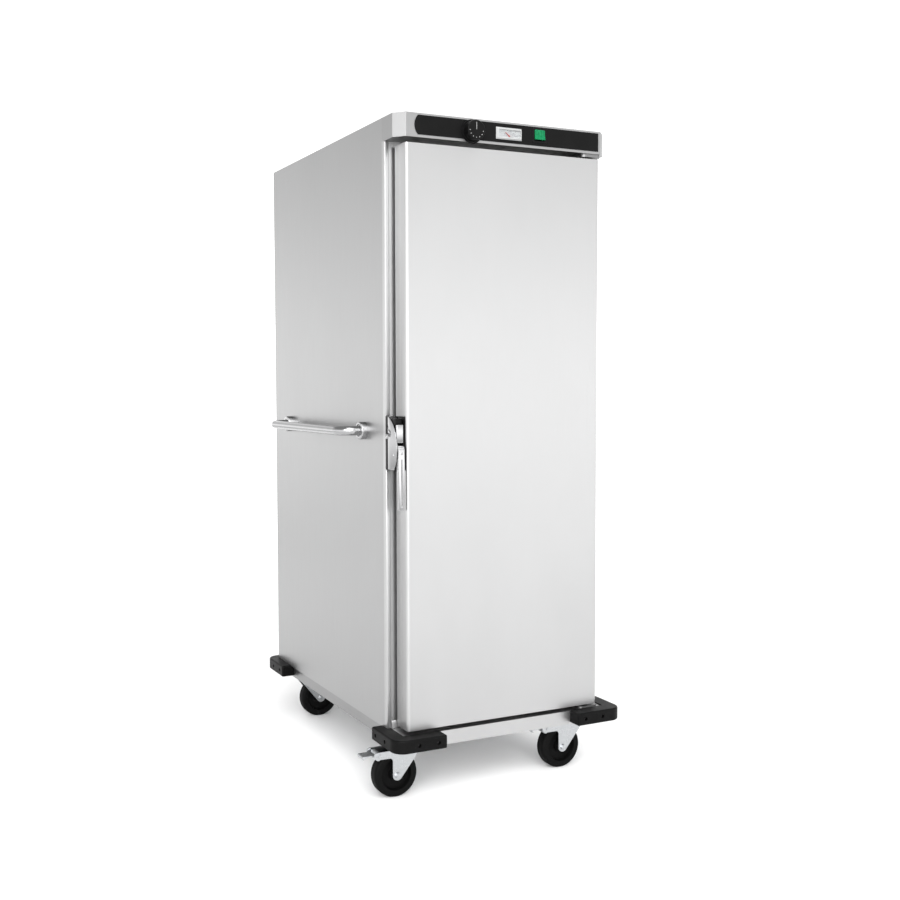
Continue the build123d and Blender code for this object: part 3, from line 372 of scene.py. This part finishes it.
def plated(name, tone, second, roughness, size=260.0):
    """Zinc plating: small patches of slightly different tone, duller in places, and a painted highlight on its
    edges.
    """
    material, tree, shader = begin(name)
    shader.inputs["Metallic"].default_value = 1.0
    patches = cells(tree, place_on(tree), size)
    clouds = noise(tree, place_on(tree), 40.0, 4.0)
    normal, edges = rounded_edges(tree, shaded_edge)
    share = combine(tree, "MULTIPLY", combine(tree, "ADD", patches, clouds), 0.5)
    mixed = mix_colour(tree, share, tone, second)
    # The edge mask lightens the colour: a painted highlight along the edges
    tree.links.new(mix_colour(tree, edges, mixed, scaled(tone, 1.15)), shader.inputs["Base Color"])
    tree.links.new(combine(tree, "ADD", spread(tree, clouds, roughness - 0.05, roughness + 0.07),
                           spread(tree, patches, -0.03, 0.03, 0.0, 1.0)), shader.inputs["Roughness"])
    raise_bump(tree, shader, clouds, 0.05, 0.0002, normal)
    return material


def moulded(name, tone, second, roughness, grain=1400.0, relief=0.12, worn=None, edge=shaded_edge, **fixed):
    """Plastic, rubber or paint: a fine moulded texture, faint colour variation and worn edges."""
    material, tree, shader = begin(name)
    for socket, value in fixed.items():
        shader.inputs[socket.replace("_", " ")].default_value = value
    clouds = noise(tree, place_on(tree), 18.0, 4.0)
    texture = noise(tree, place_on(tree), grain, 2.0)
    normal, edges = rounded_edges(tree, edge)
    mixed = mix_colour(tree, spread(tree, clouds, 0.0, 1.0), tone, second)
    if worn is not None:
        wear = spread(tree, noise(tree, place_on(tree), 120.0, 5.0), 0.0, 0.8)
        mixed = mix_colour(tree, combine(tree, "MULTIPLY", edges, wear), mixed, worn)
    tree.links.new(mixed, shader.inputs["Base Color"])
    tree.links.new(combine(tree, "ADD", spread(tree, clouds, roughness - 0.04, roughness + 0.04),
                           spread(tree, texture, -0.03, 0.03)), shader.inputs["Roughness"])
    raise_bump(tree, shader, texture, relief, 0.0001, normal)
    return material


def clear(name):
    """A thin clear window."""
    material, tree, shader = begin(name)
    shader.inputs["Transmission Weight"].default_value = 1.0
    shader.inputs["IOR"].default_value = 1.15
    haze = noise(tree, place_on(tree), 90.0, 3.0)
    tree.links.new(mix_colour(tree, haze, (0.96, 0.98, 0.98), (1.0, 1.0, 1.0)), shader.inputs["Base Color"])
    tree.links.new(spread(tree, haze, 0.0, 0.04), shader.inputs["Roughness"])
    return material


def tinted_lens(name, tone, second):
    """A tinted moulded lens with a faint glow in its own colour and a painted highlight on its edges."""
    material, tree, shader = begin(name)
    shader.inputs["Subsurface Weight"].default_value = 0.3
    shader.inputs["Subsurface Radius"].default_value = (0.002, 0.004, 0.002)
    shader.inputs["Specular IOR Level"].default_value = 0.15
    shader.inputs["Emission Strength"].default_value = 0.1
    ribs = noise(tree, place_on(tree, (1.0, 1.0, 0.3)), 350.0, 1.0)
    normal, edges = rounded_edges(tree, shaded_edge)
    body = mix_colour(tree, spread(tree, ribs, 0.0, 1.0), tone, second)
    # The brighter green on the edges is a painted highlight
    tree.links.new(mix_colour(tree, edges, body, (0.03, 0.45, 0.2)), shader.inputs["Base Color"])
    tree.links.new(body, shader.inputs["Emission Color"])
    tree.links.new(spread(tree, ribs, 0.16, 0.26), shader.inputs["Roughness"])
    raise_bump(tree, shader, ribs, 0.2, 0.0002, normal)
    return material


FINISHES = {
    "steel_satin": steel("steel_satin", grey(steel_tone, steel_tone * 1.003), 0.36),
    # The side panels' steel is a darker copy: painted shade in place of darker reflections along the sides
    "steel_side_shaded": steel("steel_side_shaded", grey(steel_side_tone, steel_side_tone * 1.003), 0.36),
    # The base's copy of the steel carries painted shade on its side skirts only
    "steel_base_shaded": steel("steel_base_shaded", grey(steel_tone, steel_tone * 1.003), 0.36,
                        shaded_beyond=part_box("base_chassis")[1][0] - skirt_shade_margin),
    "steel_head": steel("steel_head", grey(0.30, 0.301), 0.36),
    "steel_bracket": steel("steel_bracket", grey(0.20, 0.201), 0.42),
    "steel_inner": steel("steel_inner", grey(0.44), 0.42, (1.0, 0.012, 1.0), smudge=0.04),
    "element_steel": steel("element_steel", (0.42, 0.40, 0.38), 0.5, (1.0, 1.0, 1.0), 400.0, smudge=0.12),
    "polished_steel": polished("polished_steel", grey(0.36, 0.364), 0.16),
    "chrome_latch": polished("chrome_latch", grey(0.29, 0.294), 0.12),
    # chrome_bright is a lighter copy of the latch chrome: painted light on the block, lever and tongue
    "chrome_bright": polished("chrome_bright", grey(0.37, 0.374), 0.14),
    "steel_screw": plated("steel_screw", grey(0.62, 0.63), grey(0.46, 0.47), 0.3, 500.0),
    # The bumper screws' darker finish is painted shade, standing for the shade in their holes
    "screw_in_shade": plated("screw_in_shade", grey(0.05, 0.052), grey(0.08, 0.082), 0.4, 500.0),
    "caster_zinc": plated("caster_zinc", (0.43, 0.44, 0.45), (0.37, 0.38, 0.39), 0.30),
    "galvanized": plated("galvanized", (0.50, 0.51, 0.53), (0.68, 0.70, 0.72), 0.45, 90.0),
    "insulation": moulded("insulation", (0.74, 0.69, 0.50), (0.80, 0.76, 0.60), 0.95, 350.0, 0.8),
    "rubber_black": moulded("rubber_black", grey(0.002), grey(0.0035), 0.42, 700.0, 0.2,
                            grey(0.012), 0.001, Specular_IOR_Level=0.07),
    "wheel_rubber": moulded("wheel_rubber", grey(0.002), grey(0.003), 0.6, 500.0, 0.35,
                            grey(0.015), 0.001, Specular_IOR_Level=0.06),
    "fascia_black": moulded("fascia_black", grey(0.004), grey(0.005), 0.4, 2200.0, 0.08,
                            grey(0.02), Specular_IOR_Level=0.07),
    "plastic_black": moulded("plastic_black", grey(0.003), grey(0.004), 0.34, 1600.0, 0.1,
                             grey(0.012), Specular_IOR_Level=0.10),
    "gasket_grey": moulded("gasket_grey", grey(0.10, 0.105), grey(0.13, 0.135), 0.6, 600.0, 0.2),
    "bush_nylon": moulded("bush_nylon", (0.70, 0.69, 0.64), (0.75, 0.74, 0.70), 0.45, 1500.0, 0.05),
    "thermometer_white": moulded("thermometer_white", (0.34, 0.345, 0.345), (0.38, 0.385, 0.385), 0.3,
                                 1500.0, 0.03, Specular_IOR_Level=0.3),
    "dial_face": moulded("dial_face", (0.33, 0.335, 0.34), (0.38, 0.385, 0.39), 0.7, 2500.0, 0.05),
    "pointer_red": moulded("pointer_red", (0.30, 0.015, 0.012), (0.36, 0.02, 0.015), 0.4, 2500.0, 0.03),
    "mark_light": moulded("mark_light", grey(0.30), grey(0.36), 0.5, 2500.0, 0.02),
    "mark_dark": moulded("mark_dark", grey(0.01), grey(0.02), 0.5, 2500.0, 0.02),
    "clear_glass": clear("clear_glass"),
    "lens_green": tinted_lens("lens_green", (0.002, 0.10, 0.035), (0.005, 0.16, 0.06)),
}

# Nodes that get another tone of their slot's finish: painted shade on the side panels, the base's side skirts and
# the bumper screws in their holes; the head and hinge brackets are darker
OWN_FINISH = {"side_panel_left": "steel_side_shaded", "side_panel_right": "steel_side_shaded", "base_chassis": "steel_base_shaded",
              "head_housing": "steel_head", "hinge_bracket_top": "steel_bracket",
              "hinge_bracket_bottom": "steel_bracket", "bumper_screws": "screw_in_shade"}


def finish_nodes():
    """Every node gets the finish of its own slot, or a near relation of it."""
    for part in frame["record"]["subparts"]:
        finish = OWN_FINISH.get(part["node"], part["material_slot"])
        for place in frame["nodes"][part["node"]].material_slots:
            place.material = FINISHES[finish]


# Mesh building

def on_circle(middle, radius, angle):
    """A point on a circle, at an angle in radians."""
    return middle[0] + radius * math.cos(angle), middle[1] + radius * math.sin(angle)


def arc_through(first, middle, last, steps=24):
    """Points of the arc through three points, both ends included."""
    (ax, ay), (bx, by), (cx, cy) = first, middle, last
    twist = 2 * (ax * (by - cy) + bx * (cy - ay) + cx * (ay - by))
    aa, bb, cc = ax**2 + ay**2, bx**2 + by**2, cx**2 + cy**2
    ux = (aa * (by - cy) + bb * (cy - ay) + cc * (ay - by)) / twist
    uy = (aa * (cx - bx) + bb * (ax - cx) + cc * (bx - ax)) / twist
    radius = math.hypot(ax - ux, ay - uy)
    start = math.atan2(ay - uy, ax - ux)
    through = (math.atan2(by - uy, bx - ux) - start) % math.tau
    turn = (math.atan2(cy - uy, cx - ux) - start) % math.tau
    if through > turn:
        turn -= math.tau
    return [on_circle((ux, uy), radius, start + turn * i / steps) for i in range(steps + 1)]


def circle(middle, radius, steps=32):
    """Points round a circle."""
    return [on_circle(middle, radius, math.tau * i / steps) for i in range(steps)]


def rectangle(across, up):
    """The corners of a rectangle, from its two ranges."""
    (a0, a1), (b0, b1) = across, up
    return [(a0, b0), (a1, b0), (a1, b1), (a0, b1)]


def stand(axis, point, along):
    """A point of an outline, placed along an axis."""
    u, v = point
    return {"x": (along, u, v), "y": (u, along, v), "z": (u, v, along)}[axis]


def prism(bm, axis, outline, low, high, edge=0.0, segments=2):
    """A closed solid with an outline across an axis, and its edges rounded."""
    ends = [[bm.verts.new(stand(axis, point, along)) for point in outline] for along in (low, high)]
    faces = [bm.faces.new(ends[0]), bm.faces.new(ends[1])]
    for i in range(len(outline)):
        j = (i + 1) % len(outline)
        faces.append(bm.faces.new((ends[0][i], ends[0][j], ends[1][j], ends[1][i])))
    bmesh.ops.recalc_face_normals(bm, faces=faces)
    if edge > 0:
        least = math.radians(rounded_angle)
        rims = {rim for face in faces for rim in face.edges if rim.calc_face_angle(0.0) > least}
        bmesh.ops.bevel(bm, geom=list(rims), offset=edge, segments=segments, profile=0.5, affect="EDGES")


def turned(bm, axis, middle, along, profile, steps=48):
    """A closed profile of (radius, height), turned round an axis from a place along it."""
    rings = []
    for radius, height in profile:
        ring = circle(middle, radius, steps)
        rings.append([bm.verts.new(stand(axis, point, along + height)) for point in ring])
    faces = []
    for i in range(len(profile)):
        first, second = rings[i], rings[(i + 1) % len(profile)]
        for here in range(steps):
            after = (here + 1) % steps
            faces.append(bm.faces.new((first[here], first[after], second[after], second[here])))
    made = {vert for ring in rings for vert in ring}
    bmesh.ops.remove_doubles(bm, verts=list(made), dist=1e-6)
    faces = [face for face in faces if face.is_valid]
    bmesh.ops.recalc_face_normals(bm, faces=faces)


def add_piece(name, build, body, slot, finish, *nodes):
    """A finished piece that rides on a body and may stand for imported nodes."""
    bm = bmesh.new()
    build(bm)
    mesh = bpy.data.meshes.new(name)
    bm.to_mesh(mesh)
    bm.free()
    mesh.shade_smooth()
    mesh.set_sharp_from_angle(angle=math.radians(sharp_angle))
    piece = bpy.data.objects.new(name, mesh)
    scene.collection.objects.link(piece)
    mesh.materials.append(FINISHES[finish])
    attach(piece, body)
    if nodes:
        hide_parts(*nodes)


# Latch: a bowed case with two cheeks, its black plate and filler, and the grooved lever

def latch_cheek_outline(drawn_in=0.0):
    """The bowed outline of a cheek, its front edge drawn in by a distance."""
    foot = (frame_face - latch_foot + drawn_in, latch_low)
    belly = (frame_face - latch_belly + drawn_in, latch_belly_z)
    brow = (frame_face - latch_brow, latch_high)
    return arc_through(foot, belly, brow) + [(case_back, latch_high), (case_back, latch_low)]


def latch_case(bm):
    """The case's left cheek and its back."""
    prism(bm, "x", latch_cheek_outline(), case_left, case_left + latch_cheek, edge_sheet)
    prism(bm, "x", rectangle((case_back - latch_cheek, case_back), (latch_low, latch_high)), *case_inside)


def latch_block(bm):
    """The bright block over the lever, between the cheeks."""
    front = frame_face - latch_block_front
    outline = rectangle((front, front + latch_block_depth), (latch_block_low, latch_block_high))
    prism(bm, "x", outline, *case_inside, edge_block, 3)


def latch_keeper(bm):
    """Two black pads on the door frame, behind the case."""
    low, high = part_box("latch_keeper")
    for heights in ((low[2], latch_tongue_low), (latch_tongue_high, high[2])):
        outline = rectangle((low[1], frame_face), heights)
        prism(bm, "x", outline, case_left + latch_keeper_inset, high[0], edge_fine)


def latch_tongue(bm):
    """The steel catch between the pads."""
    low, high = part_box("latch_keeper")
    outline = rectangle((low[1] + latch_gap, frame_face), (latch_tongue_low, latch_tongue_high))
    prism(bm, "x", outline, case_left + latch_keeper_inset, high[0] - latch_gap, edge_fine)


def latch_backing(bm):
    """The black plate on the door's side, the filler over the block, and the right cheek."""
    plate = rectangle((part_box("latch_backing")[0][1], case_back), (latch_low, latch_high))
    prism(bm, "x", plate, case_right, case_right + latch_plate, edge_fine)
    filler = rectangle((frame_face - latch_block_front + latch_block_depth, case_back - latch_cheek),
                       (latch_block_high, latch_high - 2 * latch_cheek))
    prism(bm, "x", filler, *case_inside, edge_small)
    prism(bm, "x", latch_cheek_outline(latch_cheek_step), case_inside[1], case_right, edge_sheet)


def latch_lever(bm):
    """The lever: a grooved blade, a web round the pin, and a rivet."""
    left, right = case_inside[0] + latch_gap, case_inside[1] - latch_gap
    middle = (left + right) / 2
    pin_low, pin_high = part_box("latch_pin")
    pin_y, pin_z = (pin_low[1] + pin_high[1]) / 2, (pin_low[2] + pin_high[2]) / 2
    front = frame_face - lever_front
    rear = front + lever_thickness
    floor = front + lever_groove_depth
    # The blade is a solid back layer and a front layer that leaves the groove open
    crown = arc_through((rear, lever_high), (floor + lever_crown, lever_high - lever_crown),
                        (floor, lever_high - lever_crown_drop), 6)
    prism(bm, "x", [(rear, lever_low), *crown, (floor, lever_low)], left, right, edge_lever)
    layer = rectangle((left, right), (lever_low, lever_high - lever_layer_drop))
    groove = rectangle((middle - lever_groove / 2, middle + lever_groove / 2),
                       (lever_low + lever_thickness, lever_groove_top))
    grooved_layer(bm, layer, groove, front, floor)
    hub = arc_through((pin_y, pin_z + lever_hub), (pin_y + lever_hub, pin_z), (pin_y, pin_z - lever_hub), 14)
    web = [(rear, pin_z + lever_hub), *hub, (rear, pin_z - lever_web * lever_hub)]
    prism(bm, "x", web, left, right, edge_small)
    rivet = [(0.0, 0.0), (rivet_radius * rivet_flat, 0.0), (rivet_radius, rivet_edge),
             (rivet_radius, rivet_length), (0.0, rivet_length)]
    turned(bm, "y", (middle, rivet_z), front - rivet_rise, rivet, 24)


def grooved_layer(bm, outline, inside, front, floor):
    """A flat layer with a slot through it, its outer front edges rounded."""
    ends = []
    for along in (front, floor):
        ends.append(([bm.verts.new(stand("y", point, along)) for point in outline],
                     [bm.verts.new(stand("y", point, along)) for point in inside]))
    faces = []
    for i in range(4):
        j = (i + 1) % 4
        for outer, inner in ends:
            faces.append(bm.faces.new((outer[i], outer[j], inner[j], inner[i])))
        for near, far in zip(*ends):
            faces.append(bm.faces.new((near[i], near[j], far[j], far[i])))
    bmesh.ops.recalc_face_normals(bm, faces=faces)
    outer = set(ends[0][0])
    rims = [rim for rim in {rim for face in faces for rim in face.edges} if set(rim.verts) <= outer]
    bmesh.ops.bevel(bm, geom=rims, offset=edge_block, segments=3, profile=0.5, affect="EDGES")


# Rims of the door frame, dark beads of painted shade under the side panels, wall flanges of the handles

def frame_rims(bm):
    """The raised edges of the door frame: a rim on each side and a band along the bottom."""
    low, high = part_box("front_frame")
    keeper_low, keeper_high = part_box("latch_keeper")
    proud = (frame_face - rim_proud, frame_face)
    spans = ((low[0], low[2], keeper_low[2] - rim_gap), (low[0], keeper_high[2] + rim_gap, high[2]),
             (high[0] - rim_width, low[2], high[2]))
    for x, bottom, top in spans:
        prism(bm, "x", rectangle(proud, (bottom, top)), x, x + rim_width, edge_rim, 3)
    band = (low[0] + rim_width + rim_seam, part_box("hinge_bracket_bottom")[0][0] - rim_gap)
    prism(bm, "x", rectangle(proud, (low[2], low[2] + rim_band)), *band, edge_rim, 3)


def panel_shade_beads(bm):
    """A dark bead in the corner under each side panel: painted shade along the panel's foot."""
    base_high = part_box("base_chassis")[1]
    panel_low, panel_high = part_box("side_panel_left")
    for side in (-1, 1):
        skirt = side * base_high[0]
        bead = rectangle(sorted((skirt, skirt + side * shade_bead_size)), (base_high[2] - shade_bead_size, base_high[2]))
        prism(bm, "y", bead, panel_low[1], panel_high[1], edge_small)


def handle_flanges(bm):
    """Four drum-shaped wall flanges round the ends of the handle tubes."""
    low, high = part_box("handle_flanges")
    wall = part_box("side_panel_right")[1][0]
    height, inset = (low[2] + high[2]) / 2, (high[2] - low[2]) / 2
    middle, reach = (low[1] + high[1]) / 2, (high[1] - low[1]) / 2
    profile = [(flange_bore, 0.0), (flange_radius, 0.0), (flange_radius, flange_height - flange_crown),
               (flange_radius - flange_shoulder[0], flange_height - flange_shoulder[1]),
               (flange_radius - flange_crown, flange_height), (flange_bore + flange_recess[0], flange_height),
               (flange_bore, flange_height - flange_recess[1])]
    for side in (-1, 1):
        for end in (-1, 1):
            place = (middle + end * (reach - inset), height)
            turned(bm, "x", place, side * wall, [(radius, side * rise) for radius, rise in profile])


def door_foot(bm):
    """The turned-in ends of the door's inner sheet, over the bottom cap."""
    skin_low, skin_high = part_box("door_skin")
    pan_low, pan_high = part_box("door_inner_pan")
    front = skin_low[1] + door_edge
    for side in (-1, 1):
        edge = side * skin_high[0]
        across = sorted((edge, edge - side * door_foot_sheet))
        prism(bm, "x", rectangle((front, pan_high[1]), (skin_low[2], pan_low[2])), *across)


# Marks

def knob_marks(bm):
    """A ring of dots and a pointer line on the knob's face."""
    low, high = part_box("thermostat_knob")
    middle = ((low[0] + high[0]) / 2, (low[2] + high[2]) / 2)
    face = low[1]
    first, last = knob_dot_span
    for i in range(knob_dots):
        angle = math.radians(first + (last - first) * i / (knob_dots - 1))
        dot = circle(on_circle(middle, knob_dot_ring, angle), knob_dot_size, 16)
        prism(bm, "y", dot, face - mark_height / 2, face + mark_height)
    half = knob_line_width / 2
    line = rectangle((middle[0] - half, middle[0] + half),
                     (middle[1] + knob_line_start, middle[1] + knob_dot_ring))
    prism(bm, "y", line, face - mark_height / 2, face + mark_height)


def scale_place(angle, radius):
    """A place on the thermometer's scale, round the pointer's pivot."""
    pivot = next(joint for joint in frame["joints"] if joint["name"] == "thermometer_sweep")["pos_m"]
    return on_circle((pivot[0], pivot[2]), radius, math.radians(angle))


def scale_marks(bm):
    """The thermometer's ticks, the longer ones beside its numbers."""
    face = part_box("thermometer_dial")[0][1]
    first, last = scale_span
    for i in range(scale_ticks):
        angle = first + (last - first) * i / (scale_ticks - 1)
        length, width = scale_long_tick if i % scale_long_every == 0 else scale_short_tick
        turn = math.radians(angle)
        across = (-math.sin(turn) * width / 2, math.cos(turn) * width / 2)
        inner = scale_place(angle, scale_radius - length)
        outer = scale_place(angle, scale_radius)
        tick = [(inner[0] - across[0], inner[1] - across[1]), (outer[0] - across[0], outer[1] - across[1]),
                (outer[0] + across[0], outer[1] + across[1]), (inner[0] + across[0], inner[1] + across[1])]
        prism(bm, "y", tick, face - print_height, face + print_height)


def number_mark(text, place, depth):
    """One number as a flat mesh, facing the front."""
    curve = bpy.data.curves.new("number_" + text, "FONT")
    curve.body = text
    curve.size = number_size
    curve.align_x = "CENTER"
    curve.align_y = "CENTER"
    curve.extrude = print_height
    holder = bpy.data.objects.new("holder_" + text, curve)
    scene.collection.objects.link(holder)
    bpy.context.view_layer.update()
    mesh = bpy.data.meshes.new_from_object(holder.evaluated_get(bpy.context.evaluated_depsgraph_get()))
    bpy.data.objects.remove(holder)
    bpy.data.curves.remove(curve)
    mesh.name = "thermometer_number_" + text
    mesh.transform(Matrix.Translation((place[0], depth, place[1])) @ Matrix.Rotation(math.pi / 2, 4, "X"))
    mesh.materials.clear()
    mesh.materials.append(FINISHES["mark_dark"])
    piece = bpy.data.objects.new(mesh.name, mesh)
    scene.collection.objects.link(piece)
    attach(piece, "cabinet")


def add_marks():
    """The marks on the knob and the thermometer."""
    add_piece("knob_marks", knob_marks, "thermostat_knob", "thermometer_white", "mark_light")
    add_piece("thermometer_ticks", scale_marks, "cabinet", "plastic_black", "mark_dark")
    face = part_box("thermometer_dial")[0][1]
    first, last = scale_span
    for i, text in enumerate(scale_numbers):
        angle = first + (last - first) * i / (len(scale_numbers) - 1)
        number_mark(text, scale_place(angle, scale_radius + number_rise), face)


def add_metalwork():
    """The latch, the frame's rims, the dark beads of painted shade under the side panels, the handles' flanges and
    the door's foot.
    """
    add_piece("latch_housing", latch_case, "door", "chrome_latch", "chrome_latch", "latch_case")
    add_piece("latch_plate", latch_backing, "door", "plastic_black", "plastic_black", "latch_backing")
    # The block, lever and tongue take the lighter chrome: painted light
    add_piece("latch_block", latch_block, "door", "chrome_latch", "chrome_bright")
    add_piece("latch_handle", latch_lever, "latch_lever", "chrome_latch", "chrome_bright", "latch_lever")
    add_piece("latch_keeper_pads", latch_keeper, "cabinet", "plastic_black", "plastic_black", "latch_keeper")
    add_piece("latch_tongue", latch_tongue, "cabinet", "chrome_latch", "chrome_bright")
    add_piece("frame_rims", frame_rims, "cabinet", "steel_satin", "steel_satin")
    # The beads under the side panels are painted shade
    add_piece("panel_shade_beads", panel_shade_beads, "cabinet", "gasket_grey", "gasket_grey")
    add_piece("handle_wall_flanges", handle_flanges, "cabinet", "polished_steel", "polished_steel",
              "handle_flanges")
    add_piece("door_foot", door_foot, "door", "steel_satin", "steel_satin")


# Studio

def studio_floor():
    """A wide pale floor."""
    mesh = bpy.data.meshes.new("floor")
    corners = [(x * floor_half, y * floor_half, 0.0) for x, y in ((-1, -1), (1, -1), (1, 1), (-1, 1))]
    mesh.from_pydata(corners, [], [(0, 1, 2, 3)])
    floor = bpy.data.objects.new("floor", mesh)
    scene.collection.objects.link(floor)
    material, tree, shader = begin("floor_pale")
    clouds = noise(tree, place_on(tree), 0.8, 2.0)
    tree.links.new(mix_colour(tree, clouds, floor_tone, floor_lighter), shader.inputs["Base Color"])
    shader.inputs["Roughness"].default_value = 0.9
    shader.inputs["Specular IOR Level"].default_value = 0.1
    mesh.materials.append(material)


def studio_world():
    """Soft light from all round; the background's own grey of 0.8 scales what is worked out here."""
    world = bpy.data.worlds.new("studio")
    world.use_nodes = True
    scene.world = world
    tree = world.node_tree
    tree.nodes.clear()
    out = tree.nodes.new("ShaderNodeOutputWorld")
    light = tree.nodes.new("ShaderNodeBackground")
    place = tree.nodes.new("ShaderNodeTexCoord")
    apart = tree.nodes.new("ShaderNodeSeparateXYZ")
    tree.links.new(place.outputs["Generated"], apart.inputs["Vector"])
    across = combine(tree, "MULTIPLY", apart.outputs["X"], sky_right)
    towards = combine(tree, "MULTIPLY", apart.outputs["Y"], -sky_front)
    even = combine(tree, "ADD", combine(tree, "ADD", across, towards), sky_strength)
    overhead = spread(tree, apart.outputs["Z"], 1.0, sky_top, *sky_fade)
    level = combine(tree, "ABSOLUTE", apart.outputs["Z"], 0.0)
    band = spread(tree, level, 1.0, 0.0, 0.0, glow_height)
    glow = combine(tree, "ADD", combine(tree, "MULTIPLY", apart.outputs["Y"], -glow_front), glow_strength)
    wall = combine(tree, "MULTIPLY", spread(tree, apart.outputs["X"], 0.0, wall_strength, *wall_across),
                   spread(tree, apart.outputs["Y"], 0.0, 1.0, *wall_behind))
    around = combine(tree, "MULTIPLY", combine(tree, "ADD", even, wall), overhead)
    total = combine(tree, "ADD", around, combine(tree, "MULTIPLY", band, glow))
    tree.links.new(total, light.inputs["Strength"])
    tree.links.new(light.outputs["Background"], out.inputs["Surface"])


def far_light(name, towards, angle, strength):
    """A very soft light from far away, in the given direction."""
    data = bpy.data.lights.new(name, "SUN")
    data.energy = strength
    data.angle = math.radians(angle)
    light = bpy.data.objects.new(name, data)
    scene.collection.objects.link(light)
    light.matrix_world = Vector(towards).to_track_quat("Z", "Y").to_matrix().to_4x4()


def studio_lights():
    """Very soft light from above and from the front left."""
    far_light("light_sky", sun_from, sun_angle, sun_strength)
    far_light("light_front", low_sun_from, low_sun_angle, low_sun_strength)


set_camera()
finish_nodes()
add_metalwork()
add_marks()
studio_floor()
studio_world()
studio_lights()
